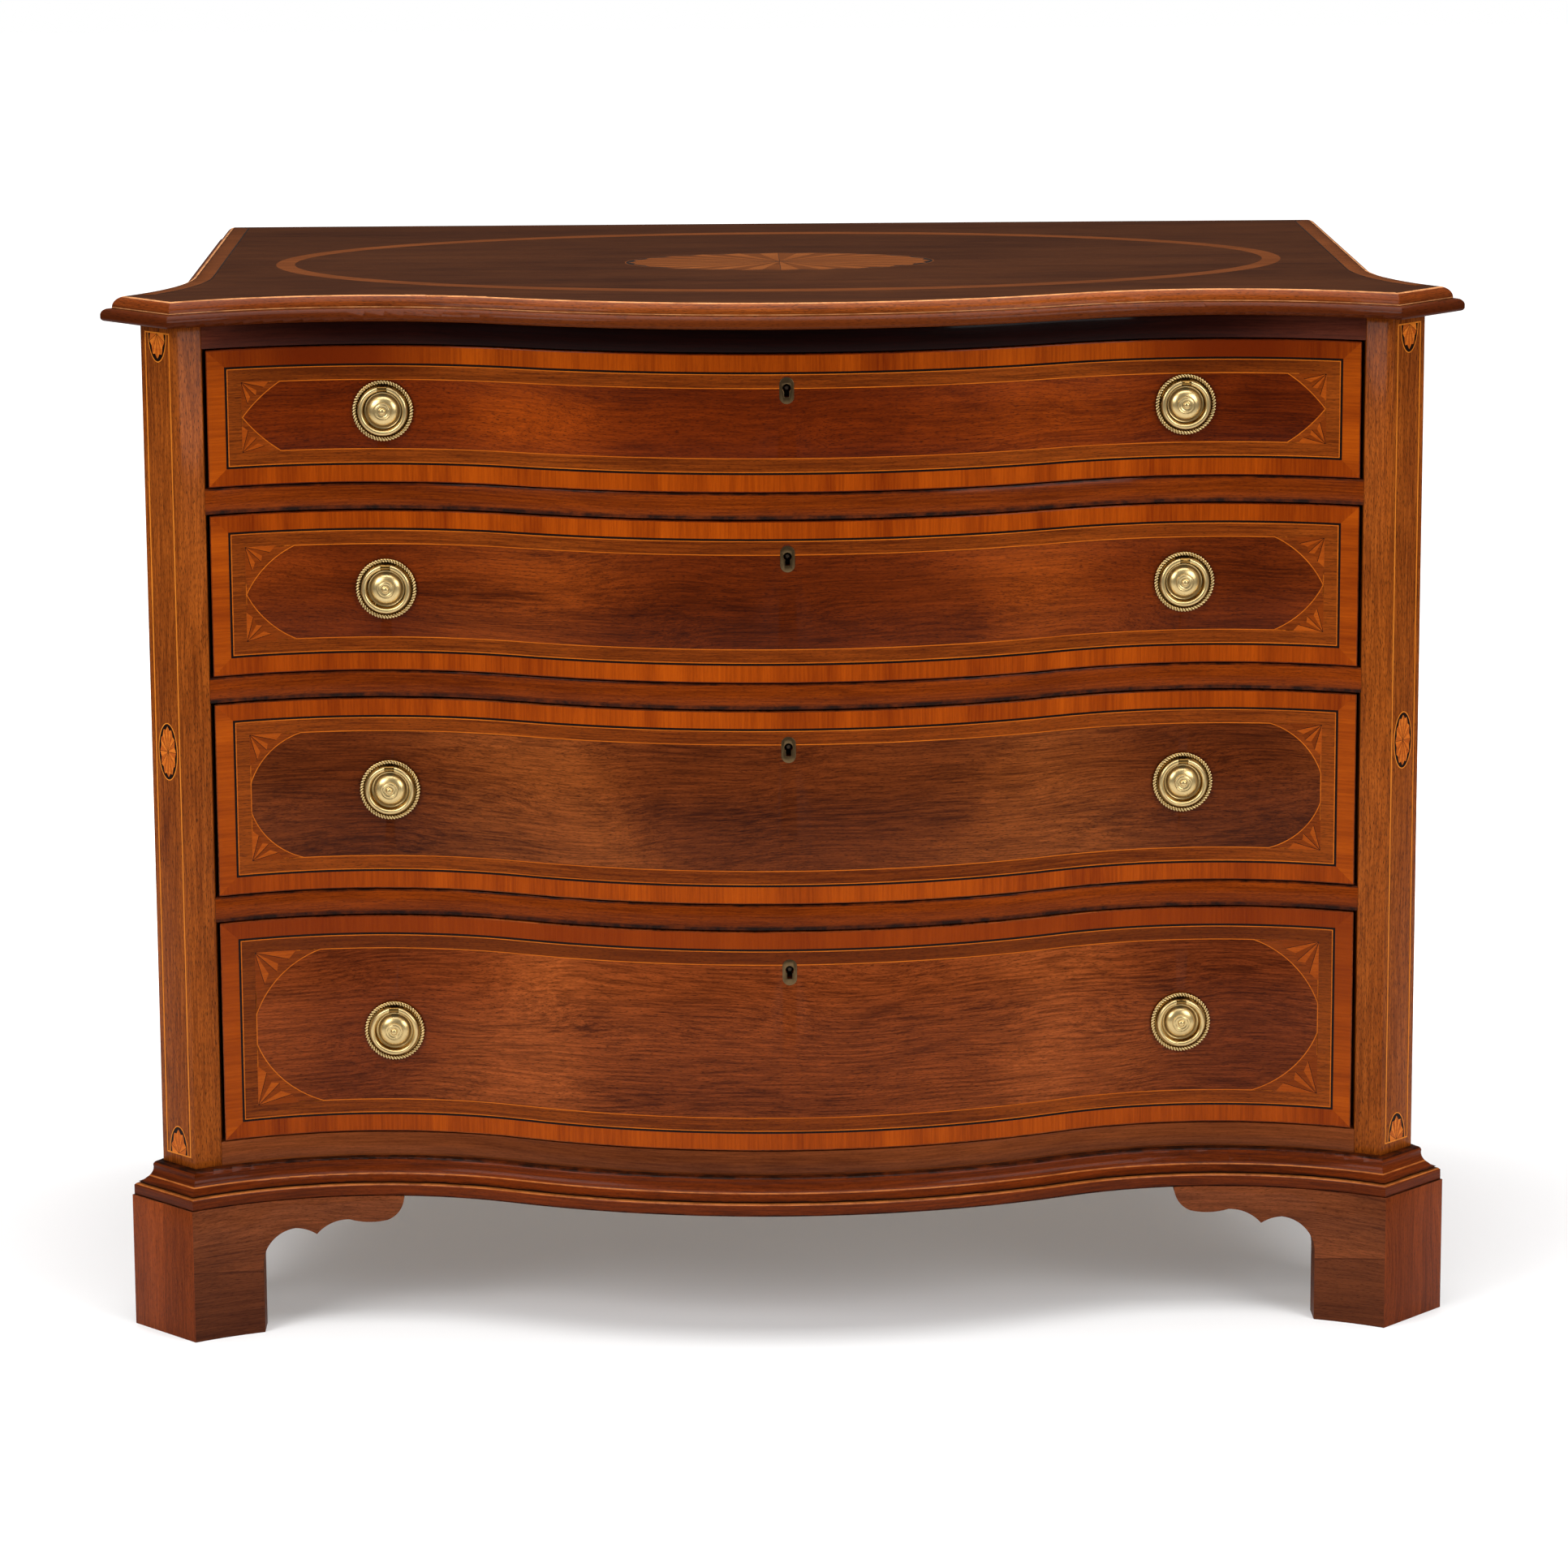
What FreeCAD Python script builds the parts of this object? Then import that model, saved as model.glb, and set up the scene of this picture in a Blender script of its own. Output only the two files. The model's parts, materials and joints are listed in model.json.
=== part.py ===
import FreeCAD, Part
import math
import os

from FreeCAD import Vector

# Serpentine chest of four graduated drawers: a moulded top with canted corners, canted
# corner posts, a moulded base on bracket feet, round ring pulls and a lock to each drawer.
# Lengths are in millimetres. X runs to the right, Y to the back and Z up. In this file Y is
# counted from the line through the two front corners of the posts. save() moves each piece
# back, so that the origin is in the middle of the floor space that the chest covers.

# Plan of the case
half_front = 498.0
post_face = 21.0
post_depth = 70.0
cant_depth = 30.0
cant_angle_deg = 45.0
bow_rise = 37.0
hollow_depth = 37.0
hollow_share = 0.7028
side_thick = 12.0
sweep_end = 156.0
case_depth = 538.0

# Heights, from the floor up, with the lowest drawer first
foot_height = 113.0
moulding_height = 28.0
base_rail_show = 20.0
opening_heights = (189.5, 164.9, 136.8, 115.9)
rail_thick = 21.2
top_rail_height = 21.8
top_thick = 20.5

# Top board: how far the flat stands outside the case, and the moulding round it
top_front = 11.0
top_cant = 8.5
top_side = 1.5
top_back = 3.0
top_sweep = 200.0
edge_reach = 16.5
ovolo_reach = 9.5
ovolo_height = 9.0
edge_step = 1.0
nose_top_round = 5.5
nose_low_round = 3.0

# Base moulding and feet: how far the feet stand outside the case
foot_front = 28.0
foot_cant = 23.5
foot_side = 17.0
foot_sweep = 209.0
foot_proud = 1.3
foot_thick = 24.0
leg_width = 56.0
bracket_length = 174.0
fillet_height = 10.0
groove_height = 1.4
bead_height = 4.6
rear_bracket_length = 130.0
rear_bracket_thick = 18.0
rear_bracket_tip = 40.0
corner_block = 34.0
side_block_width = 22.0
side_block_length = 90.0
block_gap = 14.0
block_lift = 1.5

# Inner case
rail_depth = 95.0
runner_width = 40.0
dust_thick = 6.0
dust_groove = 6.0
bottom_thick = 16.0
back_thick = 9.0
back_rebate = 7.0
back_board_count = 4
back_rail_depth = 30.0
kicker_width = 34.0
stop_width = 30.0
stop_depth = 25.0
stop_height = 5.0

# Drawers
side_gap = 3.4
under_gap = 1.2
over_gap = 1.6
run_gap = 0.3
stop_gap = 0.3
front_thick = 24.0
lining_thick = 11.0
lining_drop = 1.0
back_lining_thick = 10.0
back_lining_drop = 7.0
bottom_lining_thick = 6.0
bottom_lining_lift = 8.0
bottom_lining_groove = 5.0
drawer_back_gap = 14.0
dovetail_lap = 9.0
dovetail_pitch = 34.0
dovetail_flare = 2.4

# Ring pulls
pull_share = 0.6647
pull_lift_shares = (0.472, 0.522, 0.514, 0.528)
plate_radius = 25.5
plate_edge = 1.4
rim_width = 3.7
rim_height = 3.0
dish_height = 1.0
dome_radius = 14.0
dome_height = 5.2
boss_radius = 7.2
boss_height = 1.2
knob_radius = 2.7
knob_height = 2.0
ring_radius = 18.4
ring_wire = 2.1
ring_stand = 4.6
knuckle_width = 7.6
knuckle_radius = 2.25
knuckle_gap = 0.3
pin_radius = 1.1
pin_gap = 0.05
bolt_radius = 2.0
bolt_gap = 0.05
nut_radius = 5.0
nut_height = 4.0
seat_gap = 0.05

# Locks and keyholes
keyhole_drops = (32.0, 30.0, 29.0, 27.5)
escutcheon_width = 12.0
escutcheon_height = 22.0
escutcheon_thick = 2.5
escutcheon_proud = 0.2
keyhole_radius = 3.5
keyhole_slot = 4.2
keyhole_drop = 7.5
lock_width = 62.0
lock_height = 48.0
lock_depth = 10.0
lock_plate_proud = 1.5
lock_pin_radius = 1.5
lock_bolt_width = 26.0
lock_bolt_thick = 5.0
lock_bolt_height = 24.0
lock_bolt_low = 0.3
lock_bolt_throw = 7.0
bolt_slot_gap = 0.1
mortise_gap = 1.0

# Shapes given as shares
bracket_shares = ((0.322, 0.0), (0.322, 0.513), (0.376, 0.715), (0.478, 0.781), (0.532, 0.761),
                  (0.577, 0.723), (0.644, 0.799), (0.736, 0.825), (0.83, 0.801), (0.92, 0.817),
                  (0.978, 0.889), (1.0, 1.0))
ogee_shares = ((0.86, 0.0), (0.72, 0.07), (0.6, 0.22), (0.43, 0.5), (0.35, 1.0))
swell_out_share = 0.78
swell_up_share = 0.72

# A length that tools and cuts run past the wood
overrun = 5.0

# Worked out from the sizes above
opening_half = half_front - post_face
hollow_x = half_front * hollow_share
pull_x = half_front * pull_share
side_half = opening_half + side_thick
hollow_radius = ((half_front - hollow_x) ** 2 + hollow_depth ** 2) / (2 * hollow_depth)
swing = bow_rise + hollow_depth
bow_radius = (hollow_x ** 2 + swing ** 2) / (2 * swing) - hollow_radius
bow_centre = Vector(0, bow_radius - bow_rise, 0)
hollow_centre = Vector(hollow_x, hollow_depth - hollow_radius, 0)
cant_along = Vector(math.cos(math.radians(cant_angle_deg)), math.sin(math.radians(cant_angle_deg)), 0)
cant_out = Vector(cant_along.y, -cant_along.x, 0)
sweep_in = half_front + cant_depth - side_half
sweep_on = sweep_end - cant_depth * math.tan(math.radians(cant_angle_deg))
case_sweep = (sweep_in ** 2 + sweep_on ** 2) / (2 * sweep_in)
pull_seat = hollow_radius - math.sqrt(hollow_radius ** 2 - plate_radius ** 2) + seat_gap
bolt_reach = front_thick + pull_seat
case_low = foot_height
floor_low = foot_height + moulding_height + base_rail_show
up = Vector(0, 0, 1)


def opening_floor(level):
    """Height of the floor of a drawer opening, level 0 being the lowest."""
    return floor_low + sum(opening_heights[:level]) + rail_thick * level


case_high = opening_floor(len(opening_heights)) - rail_thick + top_rail_height
top_high = case_high + top_thick
front_reach = bow_rise + top_front + edge_reach
back_reach = case_depth + top_back
origin_y = (back_reach - front_reach) / 2


def unit(vector):
    """The vector, one unit long."""
    return vector * (1 / vector.Length)


def mirrored(point):
    """The point on the other side of the middle of the chest."""
    return Vector(-point.x, point.y, point.z)


def arc(centre, start, end):
    """The shorter arc about a centre from start to end."""
    radius = (start - centre).Length
    middle = centre + unit(unit(start - centre) + unit(end - centre)) * radius
    return Part.Arc(start, middle, end).toShape()


def along_circle(start, along, centre, radius, side):
    """Where a line meets a circle: side is 1 for the far point and -1 for the near one."""
    gap = start - centre
    reach = gap.dot(along)
    return start + along * (side * math.sqrt(reach ** 2 - gap.dot(gap) + radius ** 2) - reach)


def raised(edges, low, high):
    """A solid of a closed outline, from one height to another."""
    wire = Part.Wire(Part.sortEdges(edges)[0])
    wire.translate(Vector(0, 0, low))
    return Part.Face(wire).extrude(Vector(0, 0, high - low))


def block(x0, x1, y0, y1, z0, z1):
    """A box between two corners."""
    return Part.makeBox(x1 - x0, y1 - y0, z1 - z0, Vector(x0, y0, z0))


def both_sides(shape):
    """The shape and its mirror image on the left."""
    return [shape, left_of(shape)]


def left_of(shape):
    """The mirror image of a piece of the right side."""
    return shape.mirror(Vector(0, 0, 0), Vector(1, 0, 0))


def without(shape, cutters):
    """The shape with each cutter taken out of it."""
    for cutter in cutters:
        shape = shape.cut(cutter)
    return shape


class Plan:
    """One level's outline: serpentine front, canted corners, and swept, then straight, sides.

    front, cant and side are how far the level stands outside the case, and sweep is the
    radius of the hollow sweep behind each cant.
    """

    def __init__(self, front, cant, side, sweep, back):
        self.front = front
        self.cant = cant
        self.side = side
        self.sweep = sweep
        self.back = back
        self.half = side_half + side
        self.sweep_centre = Vector(self.half + sweep, sweep_end, 0)
        self.hollow = hollow_radius - front
        cant_start = Vector(half_front, 0, 0) + cant_out * cant
        self.turn = hollow_centre + unit(bow_centre - hollow_centre) * self.hollow
        self.corner = along_circle(cant_start, cant_along, hollow_centre, self.hollow, 1)
        self.tip = along_circle(cant_start, cant_along, self.sweep_centre, sweep, -1)
        self.side_front = Vector(self.half, sweep_end, 0)
        self.side_back = Vector(self.half, back, 0)

    def grown(self, by):
        """The parallel outline a given distance outside this one."""
        return Plan(self.front + by, self.cant + by, self.side + by, self.sweep - by, self.back)

    def outline(self):
        """The edges of the whole outline."""
        apex = bow_centre - Vector(0, bow_radius + self.front, 0)
        edges = [Part.Arc(mirrored(self.turn), apex, self.turn).toShape()]
        edges += both_sides(arc(hollow_centre, self.turn, self.corner))
        edges += both_sides(Part.makeLine(self.corner, self.tip))
        edges += both_sides(arc(self.sweep_centre, self.tip, self.side_front))
        edges += both_sides(Part.makeLine(self.side_front, self.side_back))
        edges.append(Part.makeLine(self.side_back, mirrored(self.side_back)))
        return edges

    def slab(self, low, high):
        """A solid of the whole outline."""
        return raised(self.outline(), low, high)

    def carry(self, profile, reach_front, reach_cant, reach_side):
        """Solids of a profile carried along each run, and past the corners at its ends.

        profile(reach) gives the segments of a closed outline as (outwards, height) points.
        The reach may differ from the front to the cants and the sides.
        """
        bow = bow_radius + self.front
        toward = unit(self.turn - bow_centre)
        swing_deg = math.degrees(math.atan2(toward.x, -toward.y))
        solids = [turned(profile(reach_front), bow_centre, mirrored(toward), bow, 1, 2 * swing_deg)]
        end = unit(self.turn - hollow_centre)
        past_deg = math.degrees((overrun + reach_front * 2) / self.hollow)
        start = FreeCAD.Rotation(up, -past_deg).multVec(unit(self.corner - hollow_centre))
        sweep_deg = degrees_between(start, end)
        right = [turned(profile(reach_front), hollow_centre, start, self.hollow, -1, sweep_deg)]
        past = overrun + reach_cant * 2
        right.append(run(profile(reach_cant), self.corner, self.tip, cant_out, past, past))
        start = unit(self.side_front - self.sweep_centre)
        end = unit(self.tip - self.sweep_centre)
        past_deg = math.degrees((overrun + reach_side * 2) / self.sweep)
        sweep_deg = degrees_between(start, end) + past_deg
        right.append(turned(profile(reach_side), self.sweep_centre, start, self.sweep, -1, sweep_deg))
        right.append(run(profile(reach_side), self.side_front, self.side_back, Vector(1, 0, 0),
                         0, overrun))
        for solid in right:
            solids += both_sides(solid)
        return solids


def degrees_between(first, second):
    """The angle from one unit vector to another."""
    return math.degrees(math.acos(max(-1, min(1, first.dot(second)))))


def profile_face(segments, at):
    """A face from segments of two points, a line, or three, an arc, placed by at(out, height)."""
    edges = []
    for segment in segments:
        points = [at(*point) for point in segment]
        if len(points) == 2:
            edges.append(Part.makeLine(*points))
        else:
            edges.append(Part.Arc(*points).toShape())
    return Part.Face(Part.Wire(edges))


def turned(segments, centre, toward, radius, sense, angle_deg):
    """A profile turned about an upright axis; sense is -1 where outwards is to the centre."""
    face = profile_face(segments, lambda out, z: centre + toward * (radius + sense * out) + up * z)
    return face.revolve(centre, up, angle_deg)


def run(segments, start, end, outward, before, after):
    """A profile carried along a straight run, from before its start to after its end."""
    along = unit(end - start)
    first = start - along * before
    face = profile_face(segments, lambda out, z: first + outward * out + up * z)
    return face.extrude(end + along * after - first)


case = Plan(0, 0, 0, case_sweep, case_depth)
top_flat = Plan(top_front, top_cant, top_side, top_sweep, case_depth + top_back)
foot_plan = Plan(foot_front, foot_cant, foot_side, foot_sweep, case_depth)


def front_line(out, half):
    """The serpentine line, moved outwards, from -half to half."""
    radius = hollow_radius - out
    turn = hollow_centre + unit(bow_centre - hollow_centre) * radius
    end = Vector(half, front_y(half, out), 0)
    apex = bow_centre - Vector(0, bow_radius + out, 0)
    bow = Part.Arc(mirrored(turn), apex, turn).toShape()
    return [bow] + both_sides(arc(hollow_centre, turn, end))


def front_y(x, out=0.0):
    """Y of the serpentine line, moved outwards, in the hollow at x."""
    return hollow_centre.y + math.sqrt((hollow_radius - out) ** 2 - (x - hollow_x) ** 2)


def front_slab(out, half, back, low, high):
    """A solid from the serpentine line back to a straight line across."""
    front_end = Vector(half, front_y(half, out), 0)
    back_end = Vector(half, back, 0)
    edges = front_line(out, half) + both_sides(Part.makeLine(front_end, back_end))
    edges.append(Part.makeLine(back_end, mirrored(back_end)))
    return raised(edges, low, high)


def front_strip(out, inner, half, low, high):
    """A solid between two parallel serpentine lines."""
    front_end = Vector(half, front_y(half, out), 0)
    back_end = Vector(half, front_y(half, inner), 0)
    edges = front_line(out, half) + front_line(inner, half)
    edges += both_sides(Part.makeLine(front_end, back_end))
    return raised(edges, low, high)


def edge_profile(reach):
    """What is cut away outside the moulded edge of the top: ovolo, step and nose."""
    slant = math.sin(math.radians(cant_angle_deg))
    shoulder = top_high - ovolo_height
    nose_high = shoulder - edge_step
    nose_in = nose_top_round * (1 - slant)
    low_in = nose_low_round * (1 - slant)
    outside = reach + overrun
    above = top_high + overrun
    below = case_high - overrun
    ovolo_mid = (ovolo_reach * slant, top_high - ovolo_height * (1 - slant))
    return [((0, above), (0, top_high)),
            ((0, top_high), ovolo_mid, (ovolo_reach, shoulder)),
            ((ovolo_reach, shoulder), (ovolo_reach, nose_high)),
            ((ovolo_reach, nose_high), (reach - nose_top_round, nose_high)),
            ((reach - nose_top_round, nose_high), (reach - nose_in, nose_high - nose_in),
             (reach, nose_high - nose_top_round)),
            ((reach, nose_high - nose_top_round), (reach, case_high + nose_low_round)),
            ((reach, case_high + nose_low_round), (reach - low_in, case_high + low_in),
             (reach - nose_low_round, case_high)),
            ((reach - nose_low_round, case_high), (reach - nose_low_round, below)),
            ((reach - nose_low_round, below), (outside, below)),
            ((outside, below), (outside, above)),
            ((outside, above), (0, above))]


def top_board():
    """The top, with its moulding worked on the front, the cants and the sides."""
    board = top_flat.grown(edge_reach + overrun / 2).slab(case_high, top_high)
    return without(board, top_flat.carry(edge_profile, edge_reach, edge_reach, edge_reach))


def base_profile(reach):
    """What is cut away outside the base moulding: fillet, groove, ogee and bead."""
    high = foot_height + moulding_height
    fillet = foot_height + fillet_height
    groove = fillet + groove_height
    bead = high - bead_height
    outside = reach + overrun
    above = high + overrun
    soft = groove_height
    ogee = [(reach * out, groove + (bead - groove) * lift) for out, lift in ogee_shares]
    groove_in = ogee[0][0] - groove_height
    bead_in = ogee[4][0] - bead_height / 2
    bead_mid = (ogee[4][0], bead + bead_height / 2)
    below = foot_height - overrun
    return [((outside, above), (outside, below)),
            ((outside, below), (reach, below)),
            ((reach, below), (reach, fillet - soft)),
            ((reach, fillet - soft), (reach - soft, fillet)),
            ((reach - soft, fillet), (groove_in, fillet)),
            ((groove_in, fillet), (groove_in, groove)),
            ((groove_in, groove), ogee[0]),
            (ogee[0], ogee[1], ogee[2]),
            (ogee[2], ogee[3], ogee[4]),
            (ogee[4], bead_mid, (bead_in, high)),
            ((bead_in, high), (bead_in, above)),
            ((bead_in, above), (outside, above))]


def base_moulding():
    """The moulding round the foot of the case, mitred in five lengths."""
    high = foot_height + moulding_height
    outer = foot_plan.grown(-foot_proud)
    blank = outer.grown(overrun / 2)
    face_plan = Plan(0, 0, 0, foot_sweep + foot_side, case_depth)
    ring = blank.slab(foot_height, high).cut(case.slab(foot_height - overrun, high + overrun))
    reach = (foot_front - foot_proud, foot_cant - foot_proud, foot_side - foot_proud)
    ring = without(ring, face_plan.carry(base_profile, *reach))
    past_corner = mitre(outer.corner, case.corner, Vector(case_depth, 0, 0))
    past_tip = mitre(outer.tip, case.tip, Vector(0, case_depth, 0))
    front = without(ring, both_sides(past_corner) + both_sides(past_tip))
    cant = ring.common(past_corner).cut(past_tip)
    side = ring.common(past_tip)
    return Part.makeCompound([front] + both_sides(cant) + both_sides(side))


def mitre(outer, inner, beyond):
    """The space past a mitre line, which runs out of the case through the two corners."""
    along = unit(outer - inner)
    start = outer + along * case_depth
    end = inner - along * post_depth
    corners = [start, end, end + beyond, start + beyond]
    edges = [Part.makeLine(corners[i - 1], corners[i]) for i in range(len(corners))]
    return raised(edges, foot_height - overrun, foot_height + moulding_height + overrun)


def corner_post():
    """The right corner post, with its cant."""
    zone = block(opening_half, half_front * 2, -half_front, post_depth, case_low, case_high)
    return case.slab(case_low, case_high).common(zone)


def side_panel():
    """The right side, worked to the sweep in front and rebated for the back."""
    zone = block(opening_half, half_front * 2, post_depth, case_depth + overrun, case_low, case_high)
    panel = case.slab(case_low, case_high).common(zone)
    rebate = block(opening_half - overrun, opening_half + back_rebate, case_depth - back_thick,
                   case_depth + overrun, case_low - overrun, case_high + overrun)
    return panel.cut(rebate)


def back_boards():
    """The boards of the back, one above the other."""
    half = opening_half + back_rebate
    step = (case_high - case_low) / back_board_count
    boards = []
    for index in range(back_board_count):
        low = case_low + step * index
        boards.append(block(-half, half, case_depth - back_thick, case_depth, low, low + step))
    return Part.makeCompound(boards)


def dust_space(level):
    """The thin board between two drawers, let into the rail and the runners."""
    middle = opening_floor(level) - rail_thick / 2
    half = opening_half - runner_width + dust_groove
    return block(-half, half, rail_depth - dust_groove, case_depth - back_thick,
                 middle - dust_thick / 2, middle + dust_thick / 2)


def mortise(level):
    """The mortise for the lock bolt of a drawer, in the rail over it."""
    low = opening_floor(level) + opening_heights[level]
    half = lock_bolt_width / 2 + mortise_gap
    front = lock_bolt_front() - mortise_gap
    back = lock_bolt_front() + lock_bolt_thick + mortise_gap
    return block(-half, half, front, back, low - overrun, low + lock_bolt_throw + mortise_gap)


def lock_front():
    """Y of the front of a lock case."""
    return front_thick - bow_rise - lock_depth + lock_plate_proud


def lock_bolt_front():
    """Y of the front of a lock bolt, in the middle of its case."""
    return lock_front() + (lock_depth - lock_bolt_thick) / 2


def rail(level):
    """The rail between two drawers, under the opening of a level above the lowest."""
    low = opening_floor(level) - rail_thick
    piece = front_slab(0, opening_half, rail_depth, low, low + rail_thick)
    return piece.cut(dust_space(level)).cut(mortise(level - 1))


def top_rail():
    """The rail under the top."""
    low = case_high - top_rail_height
    piece = front_slab(0, opening_half, rail_depth, low, case_high)
    return piece.cut(mortise(len(opening_heights) - 1))


def bottom_rail():
    """The rail under the lowest drawer, with the bottom board let in behind it."""
    piece = front_slab(0, opening_half, rail_depth, case_low, floor_low)
    seat = block(-opening_half, opening_half, rail_depth - dust_groove, rail_depth + overrun,
                 floor_low - bottom_thick, floor_low + overrun)
    return piece.cut(seat)


def runners():
    """The strips on the sides that the drawers run on, and those over the highest drawer."""
    solids = []
    back = case_depth - back_thick
    for level in range(1, len(opening_heights)):
        low = opening_floor(level) - rail_thick
        strip = block(opening_half - runner_width, opening_half, rail_depth, back, low, low + rail_thick)
        solids += both_sides(strip.cut(dust_space(level)))
    low = case_high - top_rail_height
    rail_front = back - back_rail_depth
    kicker = block(opening_half - kicker_width, opening_half, rail_depth, rail_front, low, case_high)
    solids += both_sides(kicker)
    solids.append(block(-opening_half, opening_half, rail_front, back, low, case_high))
    return Part.makeCompound(solids)


def dust_boards():
    """The boards between the drawers and the bottom of the case."""
    boards = [dust_space(level) for level in range(1, len(opening_heights))]
    boards.append(block(-opening_half, opening_half, rail_depth - dust_groove,
                        case_depth - back_thick, floor_low - bottom_thick, floor_low))
    return Part.makeCompound(boards)


def drawer_stops():
    """Small blocks on the rails that stop each drawer with its front flush."""
    solids = []
    front = front_y(hollow_x, -front_thick) + stop_gap
    for level in range(len(opening_heights)):
        low = opening_floor(level)
        stop = block(hollow_x - stop_width / 2, hollow_x + stop_width / 2, front,
                     front + stop_depth, low, low + stop_height)
        solids += both_sides(stop)
    return Part.makeCompound(solids)


def bracket_cut(along, origin, across):
    """The space under a bracket's shaped edge, as a solid across its face."""
    points = [origin + along * (bracket_length * out) + up * (foot_height * lift)
              for out, lift in bracket_shares]
    far = origin + along * (bracket_length + overrun)
    below = up * -overrun
    edges = [Part.makeLine(points[0] + below, points[0]), Part.makeLine(points[0], points[1])]
    for index in range(1, len(points) - 2, 2):
        edges.append(Part.Arc(points[index], points[index + 1], points[index + 2]).toShape())
    edges.append(Part.makeLine(points[-1], far + up * foot_height))
    edges.append(Part.makeLine(far + up * foot_height, far + below))
    edges.append(Part.makeLine(far + below, points[0] + below))
    return Part.Face(Part.Wire(edges)).extrude(across)


def front_foot():
    """A right front foot: two shaped brackets and the cant between them, as one."""
    outer = foot_plan.slab(0, foot_height)
    inner = foot_plan.grown(-foot_thick).slab(-overrun, foot_height + overrun)
    front_end = foot_plan.corner.x - bracket_length
    side_end = foot_plan.tip.y + bracket_length
    zone = block(front_end, half_front * 2, -half_front, side_end, 0, foot_height)
    foot = outer.cut(inner).common(zone)
    front_cut = bracket_cut(Vector(-1, 0, 0), Vector(foot_plan.corner.x, -half_front, 0),
                            Vector(0, half_front + hollow_depth + foot_thick, 0))
    side_cut = bracket_cut(Vector(0, 1, 0), Vector(opening_half - foot_thick, foot_plan.tip.y, 0),
                           Vector(half_front, 0, 0))
    return foot.cut(front_cut).cut(side_cut)


def back_foot():
    """A right back foot: a shaped side bracket and a plain sloping one behind."""
    outer = foot_plan.half
    inner = outer - foot_thick
    side = block(inner, outer, case_depth - bracket_length, case_depth, 0, foot_height)
    cut = bracket_cut(Vector(0, -1, 0), Vector(inner - overrun, case_depth, 0),
                      Vector(foot_thick + overrun * 2, 0, 0))
    front = case_depth - rear_bracket_thick
    corners = [Vector(inner, front, 0), Vector(inner, front, foot_height),
               Vector(inner - rear_bracket_length, front, foot_height),
               Vector(inner - rear_bracket_length, front, foot_height - rear_bracket_tip),
               Vector(inner - leg_width + foot_thick, front, 0)]
    edges = [Part.makeLine(corners[i - 1], corners[i]) for i in range(len(corners))]
    behind = Part.Face(Part.Wire(edges)).extrude(Vector(0, rear_bracket_thick, 0))
    return Part.makeCompound([side.cut(cut), behind])


def glue_blocks():
    """The blocks behind the feet and under the case that hold the feet on."""
    inner = foot_plan.grown(-foot_thick)
    corner = inner.corner
    zone = block(corner.x - corner_block, half_front * 2, -half_front, inner.tip.y + corner_block,
                 block_lift, foot_height)
    front_block = inner.slab(0, foot_height).common(zone)
    wall = foot_plan.half - foot_thick
    back = case_depth - rear_bracket_thick
    back_block = block(wall - corner_block, wall, back - corner_block, back, block_lift, foot_height)
    strip_front = zone.BoundBox.YMax + block_gap
    strip_low = foot_height - side_block_width
    strip = block(wall - side_block_width, wall, strip_front, strip_front + side_block_length,
                  strip_low, foot_height)
    solids = []
    for solid in (front_block, back_block, strip):
        solids += both_sides(solid)
    return Part.makeCompound(solids)


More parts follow.
